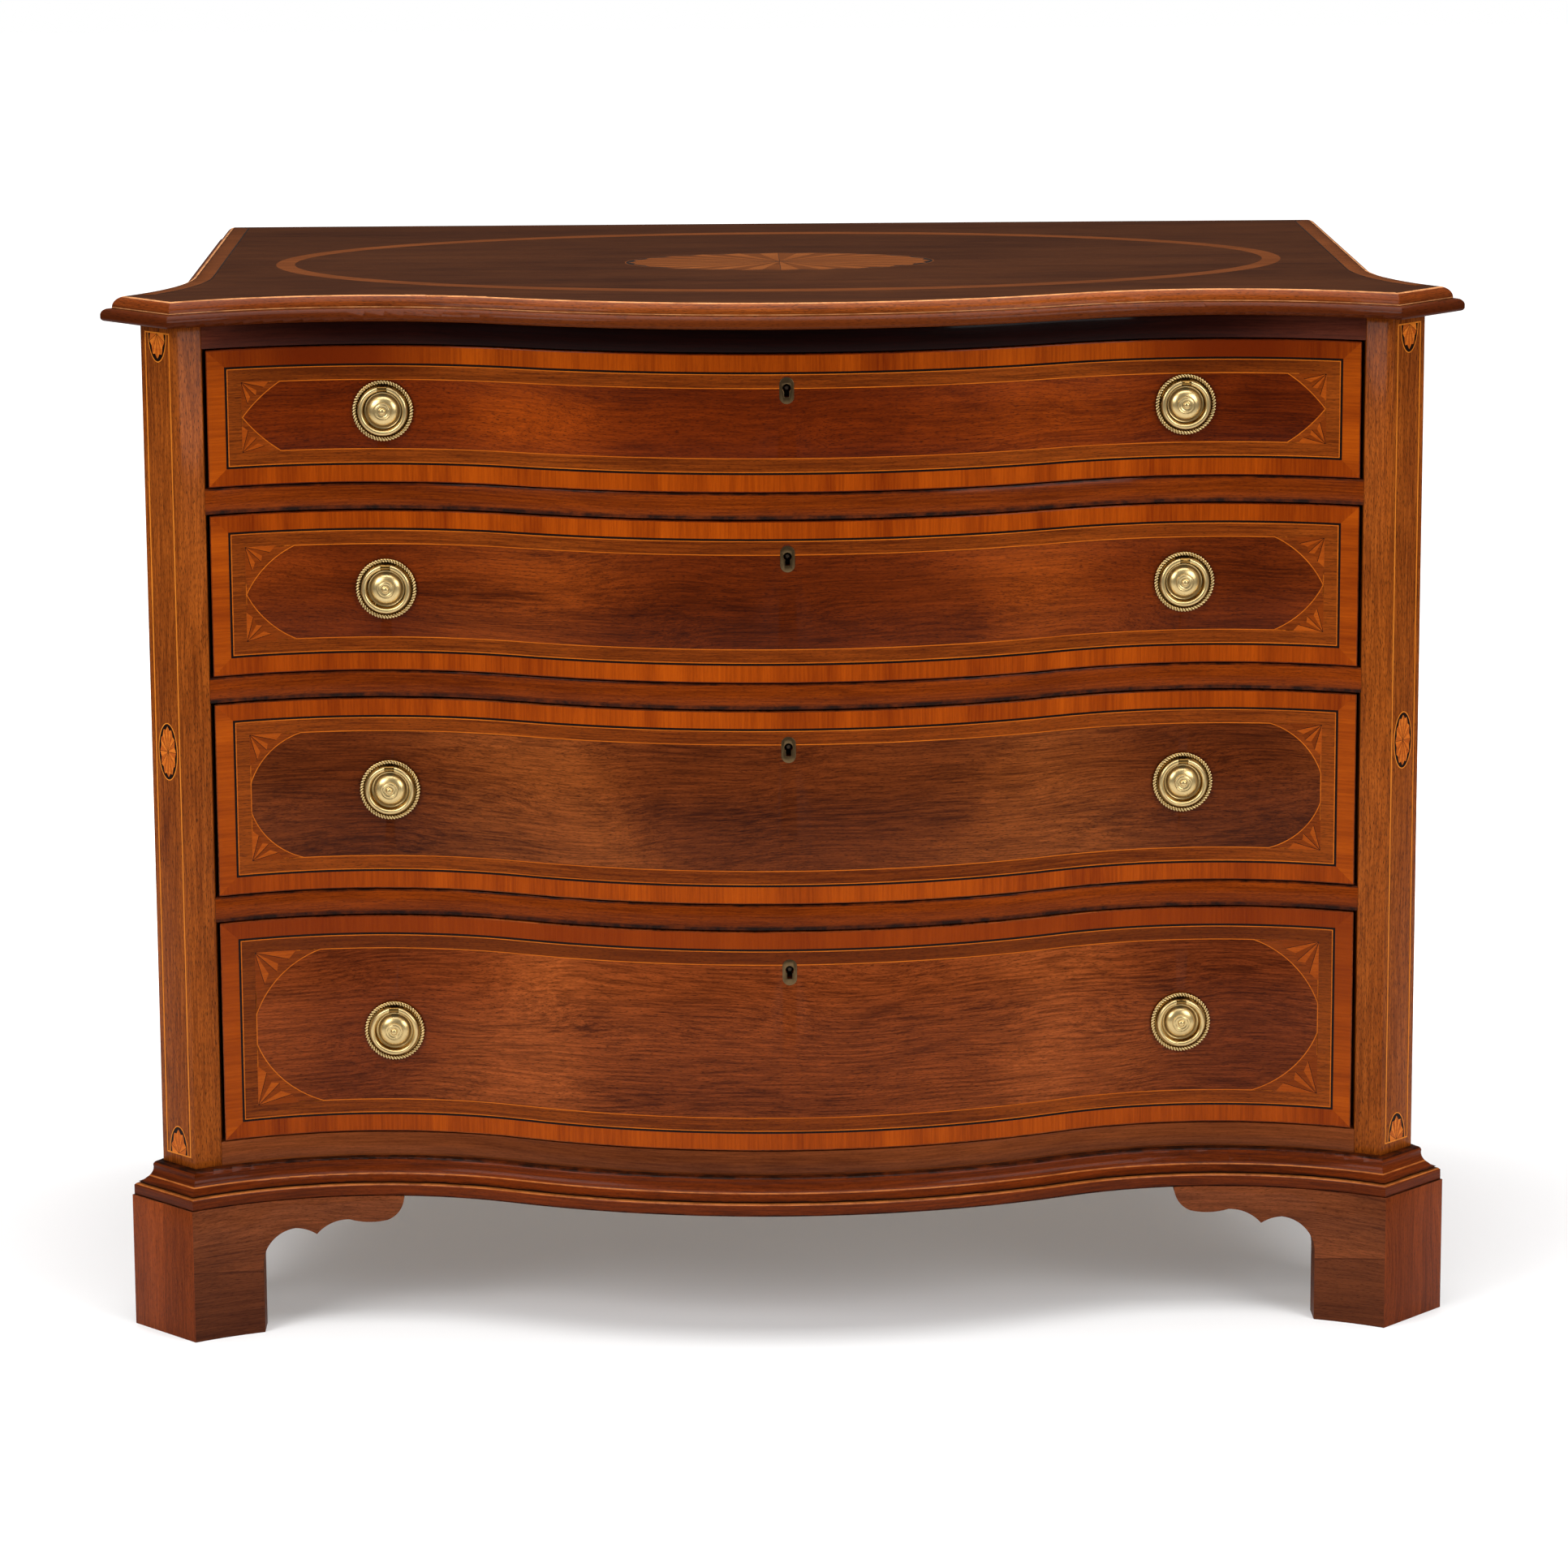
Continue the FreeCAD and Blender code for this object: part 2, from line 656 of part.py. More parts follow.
class Drawer:
    """One drawer and its fittings, level 0 being the lowest."""

    def __init__(self, level):
        self.level = level
        self.floor = opening_floor(level)
        self.low = self.floor + under_gap
        self.high = self.floor + opening_heights[level] - over_gap
        self.half = opening_half - side_gap
        self.lining_low = self.floor + run_gap
        self.lining_high = self.high - lining_drop
        self.back = case_depth - back_thick - drawer_back_gap
        self.pull_z = self.low + (self.high - self.low) * pull_lift_shares[level]
        self.key_z = self.high - keyhole_drops[level]

    def bottom(self):
        """The bottom board, let into the sides and the front."""
        half = self.half - lining_thick + bottom_lining_groove
        low = self.lining_low + bottom_lining_lift
        return front_slab(bottom_lining_groove - front_thick, half, self.back, low,
                          low + bottom_lining_thick)

    def tails(self):
        """Dovetails of the right side, in the thickness of the front."""
        height = self.lining_high - self.lining_low
        count = max(2, round(height / dovetail_pitch))
        step = height / count
        tip_y = front_y(self.half) + dovetail_lap
        root_y = front_y(self.half, -front_thick) + overrun
        narrow = step / 4
        solids = []
        for index in range(count):
            middle = self.lining_low + step * (index + 1 / 2)
            wide = narrow + dovetail_flare
            corners = [Vector(self.half - lining_thick, tip_y, middle - wide),
                       Vector(self.half - lining_thick, tip_y, middle + wide),
                       Vector(self.half - lining_thick, root_y, middle + narrow),
                       Vector(self.half - lining_thick, root_y, middle - narrow)]
            edges = [Part.makeLine(corners[i - 1], corners[i]) for i in range(len(corners))]
            solids.append(Part.Face(Part.Wire(edges)).extrude(Vector(lining_thick, 0, 0)))
        return solids

    def front_blank(self):
        """The front before anything is cut in it."""
        return front_strip(0, -front_thick, self.half, self.low, self.high)

    def side(self):
        """The right side, with its dovetails and the groove for the bottom."""
        board = block(self.half - lining_thick, self.half, front_y(self.half), self.back,
                      self.lining_low, self.lining_high)
        board = board.cut(self.front_blank().fuse(block(
            self.half - lining_thick - overrun, self.half + overrun, -half_front,
            front_y(self.half) + front_thick, self.lining_low - overrun, self.lining_high + overrun)))
        for tail in self.tails():
            board = board.fuse(tail)
        return board.removeSplitter().cut(self.bottom())

    def sides(self):
        """Both sides."""
        return Part.makeCompound(both_sides(self.side()))

    def back_board(self):
        """The back, standing on the bottom between the sides."""
        half = self.half - lining_thick
        low = self.lining_low + bottom_lining_lift + bottom_lining_thick
        return block(-half, half, self.back - back_lining_thick, self.back, low,
                     self.lining_high - back_lining_drop)

    def front(self):
        """The front, with sockets, bottom groove, lock recess, keyhole and bolt holes."""
        cutters = [self.lock_space(), self.keyhole(), self.escutcheon_space(), self.bottom()]
        for tail in self.tails():
            cutters += both_sides(tail)
        hole = Part.makeCylinder(bolt_radius + bolt_gap, front_thick * 2,
                                 Vector(0, front_thick + overrun * 2, 0), Vector(0, -1, 0))
        cutters += both_sides(self.on_front(hole))
        return without(self.front_blank(), cutters)

    def lock_space(self):
        """The recess of the lock case, at the top of the inner face."""
        front = lock_front()
        return block(-lock_width / 2, lock_width / 2, front, front + lock_depth,
                     self.high - lock_height, self.high)

    def bolt_space(self, gap, low, high):
        """The room of the bolt in the lock case."""
        half = lock_bolt_width / 2 + gap
        front = lock_bolt_front() - gap
        return block(-half, half, front, front + lock_bolt_thick + gap * 2, low, high)

    def lock_case(self):
        """The lock: a brass case open at the top for its bolt, with the pin for the key."""
        bolt_low = self.high - lock_bolt_low - lock_bolt_height
        case_box = self.lock_space().cut(self.bolt_space(bolt_slot_gap, bolt_low - bolt_slot_gap,
                                                         self.high + overrun))
        start = Vector(0, lock_front(), self.key_z)
        length = lock_front() + bow_rise - escutcheon_thick
        pin = Part.makeCylinder(lock_pin_radius, length, start, Vector(0, -1, 0))
        return case_box.fuse(pin).removeSplitter()

    def lock_bolt(self):
        """The bolt, drawn down into its case."""
        high = self.high - lock_bolt_low
        return self.bolt_space(0, high - lock_bolt_height, high)

    def keyhole(self):
        """The key's way from the front to the lock, round above and straight below."""
        front = -bow_rise - overrun
        length = lock_front() - front
        head = Part.makeCylinder(keyhole_radius, length, Vector(0, front, self.key_z), Vector(0, 1, 0))
        slot = block(-keyhole_slot / 2, keyhole_slot / 2, front, front + length,
                     self.key_z - keyhole_drop, self.key_z)
        return head.fuse(slot).removeSplitter()

    def escutcheon_space(self):
        """The recess for the escutcheon: upright, with round ends."""
        front = -bow_rise - escutcheon_proud
        end = escutcheon_width / 2
        rise = escutcheon_height / 2 - end
        middle = self.key_z - keyhole_drop / 2 + keyhole_radius / 2
        shape = block(-end, end, front, front + escutcheon_thick, middle - rise, middle + rise)
        for z in (middle - rise, middle + rise):
            shape = shape.fuse(Part.makeCylinder(end, escutcheon_thick, Vector(0, front, z),
                                                 Vector(0, 1, 0)))
        return shape.removeSplitter()

    def escutcheon(self):
        """The brass keyhole escutcheon, let into the front."""
        return self.escutcheon_space().cut(self.keyhole())

    def on_front(self, shape):
        """A fitting made about its own middle, facing -Y, placed as the right pull."""
        lean_deg = math.degrees(math.asin((hollow_x - pull_x) / hollow_radius))
        placed = shape.copy()
        placed.rotate(Vector(0, 0, 0), up, lean_deg)
        outward = unit(hollow_centre - Vector(pull_x, front_y(pull_x), 0))
        placed.translate(Vector(pull_x, front_y(pull_x), self.pull_z) + outward * pull_seat)
        return placed

    def pulls(self):
        """Both back plates, with their bolts and nuts."""
        plate = pull_plate()
        start = Vector(0, bolt_reach, 0)
        nut = Part.makeCylinder(nut_radius, nut_height, start, Vector(0, 1, 0)).cut(plate)
        return Part.makeCompound(both_sides(self.on_front(plate)) + both_sides(self.on_front(nut)))

    def ring(self):
        """The right ring, with the pin that it swings on."""
        return self.on_front(pull_ring())


def pull_plate():
    """A round plate with its bolt: rolled rim, dish, stepped dome with a knob, and knuckle."""
    rim_in = plate_radius - rim_width
    dome_top = dish_height + dome_height
    boss_top = dome_top + boss_height
    knob_top = boss_top + knob_height
    rim_mid = plate_radius - rim_width / 2
    dome_mid = (dome_radius * swell_out_share, dish_height + dome_height * swell_up_share)
    cap_radius = (knob_radius ** 2 + knob_height ** 2) / (2 * knob_height)
    half_turn = math.asin(knob_radius / cap_radius) / 2
    knob_mid = (cap_radius * math.sin(half_turn), knob_top - cap_radius * (1 - math.cos(half_turn)))
    end = -bolt_reach - nut_height
    segments = [((0, end), (bolt_radius, end)),
                ((bolt_radius, end), (bolt_radius, 0)),
                ((bolt_radius, 0), (plate_radius, 0)),
                ((plate_radius, 0), (plate_radius, plate_edge)),
                ((plate_radius, plate_edge), (rim_mid, rim_height), (rim_in, dish_height)),
                ((rim_in, dish_height), (dome_radius, dish_height)),
                ((dome_radius, dish_height), dome_mid, (boss_radius, dome_top)),
                ((boss_radius, dome_top), (boss_radius, boss_top)),
                ((boss_radius, boss_top), (knob_radius, boss_top)),
                ((knob_radius, boss_top), knob_mid, (0, knob_top)),
                ((0, knob_top), (0, end))]
    face = profile_face(segments, lambda out, lift: Vector(out, -lift, 0))
    plate = face.revolve(Vector(0, 0, 0), Vector(0, 1, 0), 360)
    half = knuckle_width / 2
    barrel = Part.makeCylinder(knuckle_radius, knuckle_width, Vector(-half, -ring_stand, ring_radius),
                               Vector(1, 0, 0))
    stem = block(-half, half, -ring_stand, -dish_height / 2, ring_radius - knuckle_radius / 2,
                 ring_radius + knuckle_radius)
    bore = Part.makeCylinder(pin_radius + pin_gap, knuckle_width + overrun * 2,
                             Vector(-half - overrun, -ring_stand, ring_radius), Vector(1, 0, 0))
    return plate.fuse(barrel).fuse(stem).cut(bore).removeSplitter()


def pull_ring():
    """A ring of round wire, parted at the top for the knuckle, with a straight pin across."""
    axis_point = Vector(0, -ring_stand, 0)
    ring = Part.makeTorus(ring_radius, ring_wire, axis_point, Vector(0, 1, 0))
    half = knuckle_width / 2 + knuckle_gap
    parting = block(-half, half, -ring_stand - ring_wire * 2, -ring_stand + ring_wire * 2,
                    ring_radius - ring_wire * 2, ring_radius + ring_wire * 2)
    reach = half + ring_wire
    pin = Part.makeCylinder(pin_radius, reach * 2, Vector(-reach, -ring_stand, ring_radius),
                            Vector(1, 0, 0))
    return ring.cut(parting).fuse(pin).removeSplitter()


def save(name, shape):
    """Write one sub-part, moved so that the origin is under the middle of the chest."""
    piece = shape.copy()
    piece.translate(Vector(0, -origin_y, 0))
    piece.exportStep(os.path.join("parts", name + ".step"))


def build_case():
    """Write the pieces of the case."""
    save("top_board", top_board())
    save("top_rail", top_rail())
    for level, name in ((3, "rail_upper"), (2, "rail_middle"), (1, "rail_lower")):
        save(name, rail(level))
    save("bottom_rail", bottom_rail())
    post = corner_post()
    panel = side_panel()
    foot = front_foot()
    rear = back_foot()
    for side, place in (("right", lambda shape: shape), ("left", left_of)):
        save("corner_post_" + side, place(post))
        save("side_panel_" + side, place(panel))
        save("foot_front_" + side, place(foot))
        save("foot_back_" + side, place(rear))
    save("back_boards", back_boards())
    save("runners", runners())
    save("dust_boards", dust_boards())
    save("drawer_stops", drawer_stops())
    save("base_moulding", base_moulding())
    save("glue_blocks", glue_blocks())


def build_drawer(level):
    """Write the pieces of one drawer; drawer_1 is the highest."""
    drawer = Drawer(level)
    name = "drawer_%d_" % (len(opening_heights) - level)
    save(name + "front", drawer.front())
    save(name + "sides", drawer.sides())
    save(name + "back", drawer.back_board())
    save(name + "bottom", drawer.bottom())
    save(name + "escutcheon", drawer.escutcheon())
    save(name + "lock_case", drawer.lock_case())
    save(name + "lock_bolt", drawer.lock_bolt())
    save(name + "pull_plates", drawer.pulls())
    save(name + "ring_right", drawer.ring())
    save(name + "ring_left", left_of(drawer.ring()))


os.makedirs("parts", exist_ok=True)
build_case()
for opening in range(len(opening_heights)):
    build_drawer(opening)
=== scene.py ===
import json
import logging
import math
from contextlib import contextmanager
from dataclasses import dataclass, replace
from enum import Enum
from typing import Callable, Iterator, Sequence

import bpy
from mathutils import Matrix, Vector


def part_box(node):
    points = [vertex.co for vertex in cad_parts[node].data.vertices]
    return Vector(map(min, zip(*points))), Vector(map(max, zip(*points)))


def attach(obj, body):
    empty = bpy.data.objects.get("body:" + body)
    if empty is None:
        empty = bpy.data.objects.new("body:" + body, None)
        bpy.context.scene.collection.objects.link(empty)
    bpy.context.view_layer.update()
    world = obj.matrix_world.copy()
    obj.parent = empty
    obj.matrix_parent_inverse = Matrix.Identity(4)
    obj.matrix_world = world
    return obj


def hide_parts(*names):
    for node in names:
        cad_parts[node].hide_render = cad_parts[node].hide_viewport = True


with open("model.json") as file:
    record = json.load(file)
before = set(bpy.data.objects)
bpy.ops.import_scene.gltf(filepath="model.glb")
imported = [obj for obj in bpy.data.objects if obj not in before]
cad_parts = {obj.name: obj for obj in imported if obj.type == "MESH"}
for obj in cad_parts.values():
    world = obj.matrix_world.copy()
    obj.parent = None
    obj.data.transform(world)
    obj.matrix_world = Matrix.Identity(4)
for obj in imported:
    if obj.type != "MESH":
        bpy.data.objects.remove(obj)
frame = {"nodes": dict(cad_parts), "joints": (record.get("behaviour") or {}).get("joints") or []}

# Lengths are in metres, in the frame's own axes: X to the right, Y to the back and Z up.

log = logging.getLogger("chest")
Colour = tuple[float, float, float]
Point = tuple[float, float, float]
Marks = tuple[tuple[float, float], ...]
Node = bpy.types.Node
Piece = bpy.types.Object
Socket = bpy.types.NodeSocket

# Nodes, places, turns and small distances that several pieces share

NODES = frame["nodes"]
RAILS = ("rail_upper", "rail_middle", "rail_lower")
CASE_LOW, CASE_HIGH = (corner.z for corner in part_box("back_boards"))
TOP_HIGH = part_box("top_board")[1].z
TOP_RAIL_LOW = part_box("top_rail")[0].z
LOWEST_RAIL_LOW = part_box("rail_lower")[0].z
SIDES = (1, -1)
SIDE_OUT = 0.48
SIDE_FRONT = -0.205
UPRIGHT = (math.pi / 2, 0, 0)
FLAT = (0, 0, 0)
DOUBLED = 0.000001
HAIR = 0.00001


# Colour and node wiring


def tint(red: int, green: int, blue: int) -> Colour:
    """The linear colour of a screen colour.

    Args:
        red: Red as a byte.
        green: Green as a byte.
        blue: Blue as a byte.

    Returns:
        Three shares of light.
    """
    def linear(byte: int) -> float:
        """One byte as a share of light."""
        share = byte / 255
        return share / 12.92 if share <= 0.04045 else ((share + 0.055) / 1.055) ** 2.4
    return linear(red), linear(green), linear(blue)


WHITE = (1.0, 1.0, 1.0, 1.0)
# Colour of the painted shade and grime in corners and grooves
SHADE_AND_GRIME = tint(22, 9, 4)
# Colour of the dark lines: painted shadow along gaps, and dark joints
SHADE_AND_JOINT_LINE = tint(20, 9, 5)


class Wiring:
    """A node tree that is wired up in code."""

    def __init__(self, tree: bpy.types.NodeTree) -> None:
        """Starts on the emptied tree of a material, a world or a node group."""
        self.tree = tree
        tree.nodes.clear()

    def feed(self, socket: Socket, value: object) -> None:
        """Gives a socket its value.

        Args:
            socket: The input.
            value: Another node's output, a colour or a plain value.
        """
        if isinstance(value, Socket):
            self.tree.links.new(value, socket)
        elif isinstance(value, tuple) and len(value) == 3 and socket.type == "RGBA":
            socket.default_value = (*value, 1.0)
        else:
            socket.default_value = value

    def node(self, kind: str, inputs: dict[str | int, object] | None = None,
             **settings: object) -> Node:
        """Adds a node.

        Args:
            kind: Blender's name of the node's type.
            inputs: Sockets by name or number, with a value or another node's output.
            settings: The node's own properties.

        Returns:
            The new node.
        """
        made = self.tree.nodes.new(kind)
        for name, value in settings.items():
            setattr(made, name, value)
        for name, value in (inputs or {}).items():
            self.feed(made.inputs[name], value)
        return made

    def calc(self, operation: str, first: object, second: object = 0.0, clamp: bool = False) -> Socket:
        """The output of a Math node."""
        made = self.node("ShaderNodeMath", {0: first, 1: second}, operation=operation, use_clamp=clamp)
        return made.outputs[0]

    def times(self, first: object, second: object) -> Socket:
        """The product of two values."""
        return self.calc("MULTIPLY", first, second)

    def less(self, first: object, second: object) -> Socket:
        """The first value less the second."""
        return self.calc("SUBTRACT", first, second)

    def away(self, value: object, middle: float = 0.0) -> Socket:
        """How far a value lies from a middle, whichever way."""
        return self.calc("ABSOLUTE", self.less(value, middle) if middle else value)

    def remap(self, value: object, low: float, high: float, to_low: float = 0.0,
              to_high: float = 1.0) -> Socket:
        """A value stretched from one range to another, and held there."""
        made = self.node("ShaderNodeMapRange", {0: value, 1: low, 2: high, 3: to_low, 4: to_high})
        return made.outputs[0]

    def mix(self, share: object, first: object, second: object, blend: str = "MIX") -> Socket:
        """Two colours mixed.

        Args:
            share: How much of the second colour there is.
            first: One colour.
            second: The other colour.
            blend: Blender's name of the way that they blend.

        Returns:
            The mixed colour.
        """
        sockets = {0: share, 6: first, 7: second}
        return self.node("ShaderNodeMix", sockets, data_type="RGBA", blend_type=blend,
                         clamp_factor=True).outputs[2]

    def noise(self, vector: object, scale: Point, detail: float = 2.0, roughness: float = 0.5,
              distortion: float = 0.0) -> Socket:
        """The value of a noise texture.

        Args:
            vector: Where it is read.
            scale: How fine it is along each axis.
            detail: How many finer layers it has.
            roughness: How much the finer layers count.
            distortion: How much it is swirled.

        Returns:
            A value from 0 to 1.
        """
        made = self.node("ShaderNodeTexNoise", {"Vector": self.stretch(vector, scale), "Scale": 1.0,
                                                "Detail": detail, "Roughness": roughness,
                                                "Distortion": distortion})
        return made.outputs["Fac"]

    def stretch(self, vector: object, scale: Point) -> Socket:
        """A vector multiplied axis by axis."""
        return self.node("ShaderNodeVectorMath", {0: vector, 1: scale}, operation="MULTIPLY").outputs[0]

    def add(self, first: object, second: object) -> Socket:
        """The sum of two vectors."""
        return self.node("ShaderNodeVectorMath", {0: first, 1: second}, operation="ADD").outputs[0]

    def group(self, tree: bpy.types.NodeTree, **inputs: object) -> Node:
        """Places a node group.

        Args:
            tree: The group.
            inputs: Its inputs by name, in small letters.

        Returns:
            The group's node.
        """
        made = self.node("ShaderNodeGroup", node_tree=tree)
        for name, value in inputs.items():
            self.feed(made.inputs[name.capitalize()], value)
        return made


class Effects:
    """Shader node groups that several materials share, each built once."""

    made: dict[str, bpy.types.NodeTree] = {}
    bend_scale: Point = (2.6, 7.0, 7.0)
    figure_scale: Point = (1.7, 30.0, 30.0)
    streak_scale: Point = (20.0, 560.0, 560.0)
    pore_scale: Point = (240.0, 2300.0, 2300.0)
    mottle_scale: Point = (5.0, 6.0, 6.0)
    broad_span: tuple[float, float] = (0.3, 0.7)
    streak_span: tuple[float, float] = (0.35, 0.65)
    pore_span: tuple[float, float] = (0.54, 0.68)
    open_and_deep: tuple[float, float] = (0.85, 0.4)

    @classmethod
    def start(cls, name: str, inputs: dict[str, str], outputs: Sequence[str]) -> Wiring:
        """Makes the empty group with its sockets.

        Args:
            name: The group's name.
            inputs: Socket types by input name.
            outputs: Names of the outputs, which are all plain values.

        Returns:
            The group's wiring.
        """
        tree = bpy.data.node_groups.new(name, "ShaderNodeTree")
        cls.made[name] = tree
        for way, sockets in (("INPUT", inputs), ("OUTPUT", dict.fromkeys(outputs, "Float"))):
            for socket, kind in sockets.items():
                tree.interface.new_socket(socket, in_out=way, socket_type="NodeSocket" + kind)
        return Wiring(tree)

    @classmethod
    def grain(cls) -> bpy.types.NodeTree:
        """Wood grain: broad figure, fine streaks and dark pores, with the grain along X.

        Returns:
            The group, made at its first use.
        """
        if "Wood grain" in cls.made:
            return cls.made["Wood grain"]
        wire = cls.start("Wood grain", {"Vector": "Vector", "Seed": "Float", "Waviness": "Float"},
                         ("Figure", "Streak", "Pore", "Mottle"))
        given = wire.node("NodeGroupInput").outputs
        shifted = wire.add(given["Vector"], given["Seed"])
        sway = wire.times(wire.less(wire.noise(shifted, cls.bend_scale), 0.5), given["Waviness"])
        lines = wire.add(shifted, wire.node("ShaderNodeCombineXYZ", {1: sway, 2: sway}).outputs[0])
        figure = wire.noise(lines, cls.figure_scale, 4.0, 0.6, 0.4)
        streak = wire.noise(lines, cls.streak_scale, 3.0, 0.7)
        pore = wire.noise(lines, cls.pore_scale, 1.0)
        mottle = wire.noise(shifted, cls.mottle_scale)
        wire.node("NodeGroupOutput", {"Figure": wire.remap(figure, *cls.broad_span),
                                      "Streak": wire.remap(streak, *cls.streak_span),
                                      "Pore": wire.remap(pore, *cls.pore_span),
                                      "Mottle": wire.remap(mottle, *cls.broad_span)})
        return cls.made["Wood grain"]

    @classmethod
    def recess(cls) -> bpy.types.NodeTree:
        """How deep in a corner or a groove a place lies.

        Returns:
            The group, made at its first use.
        """
        if "Recess" in cls.made:
            return cls.made["Recess"]
        wire = cls.start("Recess", {"Reach": "Float"}, ("Depth",))
        given = wire.node("NodeGroupInput").outputs
        around = wire.node("ShaderNodeAmbientOcclusion", {"Distance": given["Reach"]},
                           samples=6, only_local=True)
        wire.node("NodeGroupOutput", {"Depth": wire.remap(around.outputs["AO"], *cls.open_and_deep)})
        return cls.made["Recess"]


# Finishes


class Grain(Enum):
    """Which way the grain runs on a surface: the axes along, across and through it."""

    ALONG_FRONT = ("X", "Z", None)
    UP_FRONT = ("Z", "X", None)
    UPRIGHT = ("Z", "X", "Y")
    ALONG_TOP = ("X", "Y", None)
    ALONG_SIDE = ("Y", "Z", "X")


@dataclass(frozen=True)
class Finish:
    """What every finish has: a name, and one material under that name."""

    name: str

    def material(self) -> bpy.types.Material:
        """The material of this finish.

        Returns:
            A node material that reads Object coordinates, made at its first use.
        """
        known = bpy.data.materials.get(self.name)
        if known is not None:
            return known
        made = bpy.data.materials.new(self.name)
        made.use_nodes = True
        wire = Wiring(made.node_tree)
        shader = self.shader(wire, wire.node("ShaderNodeTexCoord").outputs["Object"])
        wire.node("ShaderNodeOutputMaterial", {"Surface": shader.outputs[0]})
        return made

    def shader(self, wire: Wiring, spot: Socket) -> Node:
        """The surface's shader node, which each kind of finish wires up."""
        raise NotImplementedError


@dataclass(frozen=True)
class Wood(Finish):
    """A polished wood or veneer."""

    pale: Colour
    dark: Colour
    pore: Colour = tint(38, 14, 5)
    shine: float = 0.035
    grain: Grain = Grain.ALONG_FRONT
    seed: float = 0.0
    waviness: float = 0.02
    figure: float = 0.5
    patchiness: float = 0.3
    pores: float = 0.5
    pore_depth: float = 0.0004
    pore_strength: float = 0.12
    gloss: float = 0.08
    gloss_roughness: float = 0.1
    roughness: float = 0.38
    # Painted shade and grime in corners and grooves, from how hidden a place is
    shaded_and_grimy: bool = False
    shade_and_grime_reach: float = 0.006
    shade_and_grime_share: float = 0.8
    highlight_and_wear_tint: Colour = tint(176, 104, 52)
    # Painted light and shade across a front: places along X, each with how bright it is painted there
    across: Marks = ()
    painted_light_reach: float = 0.5
    raggedness: float = 0.11
    reddening: float = 1.3
    # Light lines by height: painted highlight and wear along arrises
    highlight_and_wear_lines: Marks = ()
    # Dark lines by height: painted shadow along gaps, and dark joints
    shade_and_joint_lines: Marks = ()
    mark_scale: Point = (60.0, 60.0, 60.0)
    mark_breaks: tuple[float, float] = (0.35, 0.6)
    mark_shares: tuple[float, float] = (0.4, 0.95)
    # Tone by place: real joints in some woods, painted shade in others
    seam_and_shade: Callable[[Wiring, dict[str, Socket]], Socket] | None = None

    def shader(self, wire: Wiring, spot: Socket) -> Node:
        """Grain between the dark and the pale colour, with pores, painted light and shade, lines and
        polish over it.

        Args:
            wire: The material's wiring.
            spot: The place on the piece.

        Returns:
            The shader node.
        """
        at = dict(wire.node("ShaderNodeSeparateXYZ", {0: spot}).outputs.items())
        axes = {index: at[axis] for index, axis in enumerate(self.grain.value) if axis}
        lie = wire.node("ShaderNodeCombineXYZ", axes).outputs[0]
        grain = wire.group(Effects.grain(), vector=lie, seed=self.seed, waviness=self.waviness).outputs
        broad = wire.times(grain["Figure"], self.figure)
        fine = wire.times(grain["Streak"], 1.0 - self.figure)
        patch = wire.times(wire.less(grain["Mottle"], 0.5), self.patchiness)
        tone = wire.calc("ADD", wire.calc("ADD", broad, fine), patch, True)
        if self.seam_and_shade:
            tone = wire.calc("MULTIPLY", tone, self.seam_and_shade(wire, at), True)
        base = wire.mix(tone, self.dark, self.pale)
        base = wire.mix(wire.times(grain["Pore"], self.pores), base, self.pore)
        # Painted light and shade across the front
        if self.across:
            base = wire.mix(1.0, base, self.painted_light_across(wire, at["X"], grain["Mottle"]), "MULTIPLY")
        # Painted shade and grime in corners and grooves
        if self.shaded_and_grimy:
            recess = wire.group(Effects.recess(), reach=self.shade_and_grime_reach).outputs["Depth"]
            base = wire.mix(wire.times(recess, self.shade_and_grime_share), base, SHADE_AND_GRIME)
        # Dark lines of painted shadow and joints, and light lines of painted highlight and wear
        for marks, colour in ((self.shade_and_joint_lines, SHADE_AND_JOINT_LINE), (self.highlight_and_wear_lines, self.highlight_and_wear_tint)):
            if marks:
                base = wire.mix(self.level_lines(wire, spot, at["Z"], marks), base, colour)
        height = wire.less(1.0, grain["Pore"])
        bump = wire.node("ShaderNodeBump", {"Strength": self.pore_strength,
                                            "Distance": self.pore_depth, "Height": height})
        return wire.node("ShaderNodeBsdfPrincipled", {
            "Base Color": base, "Roughness": self.roughness, "Specular IOR Level": self.shine,
            "Coat Weight": self.gloss, "Coat Roughness": self.gloss_roughness,
            "Normal": bump.outputs[0]})

    def painted_light_across(self, wire: Wiring, out: Socket, mottle: Socket) -> Socket:
        """Painted light and shade across the front, from its middle to its ends, redder where darker.

        Args:
            wire: The material's wiring.
            out: The place along X.
            mottle: The grain's mottle, which makes the edges ragged.

        Returns:
            A colour to multiply the veneer's by.
        """
        ragged = wire.times(wire.less(mottle, 0.5), self.raggedness)
        along = wire.times(wire.calc("ADD", wire.away(out), ragged), 1 / self.painted_light_reach)
        ramp = wire.node("ShaderNodeValToRGB", {"Fac": along})
        ramp.color_ramp.interpolation = "B_SPLINE"
        stops = ramp.color_ramp.elements
        while len(stops) < len(self.across):
            stops.new(0.5)
        for stop, (place_at, share) in zip(stops, self.across):
            stop.position = place_at / self.painted_light_reach
            stop.color = (share, share ** self.reddening, share ** self.reddening, 1.0)
        return ramp.outputs["Color"]

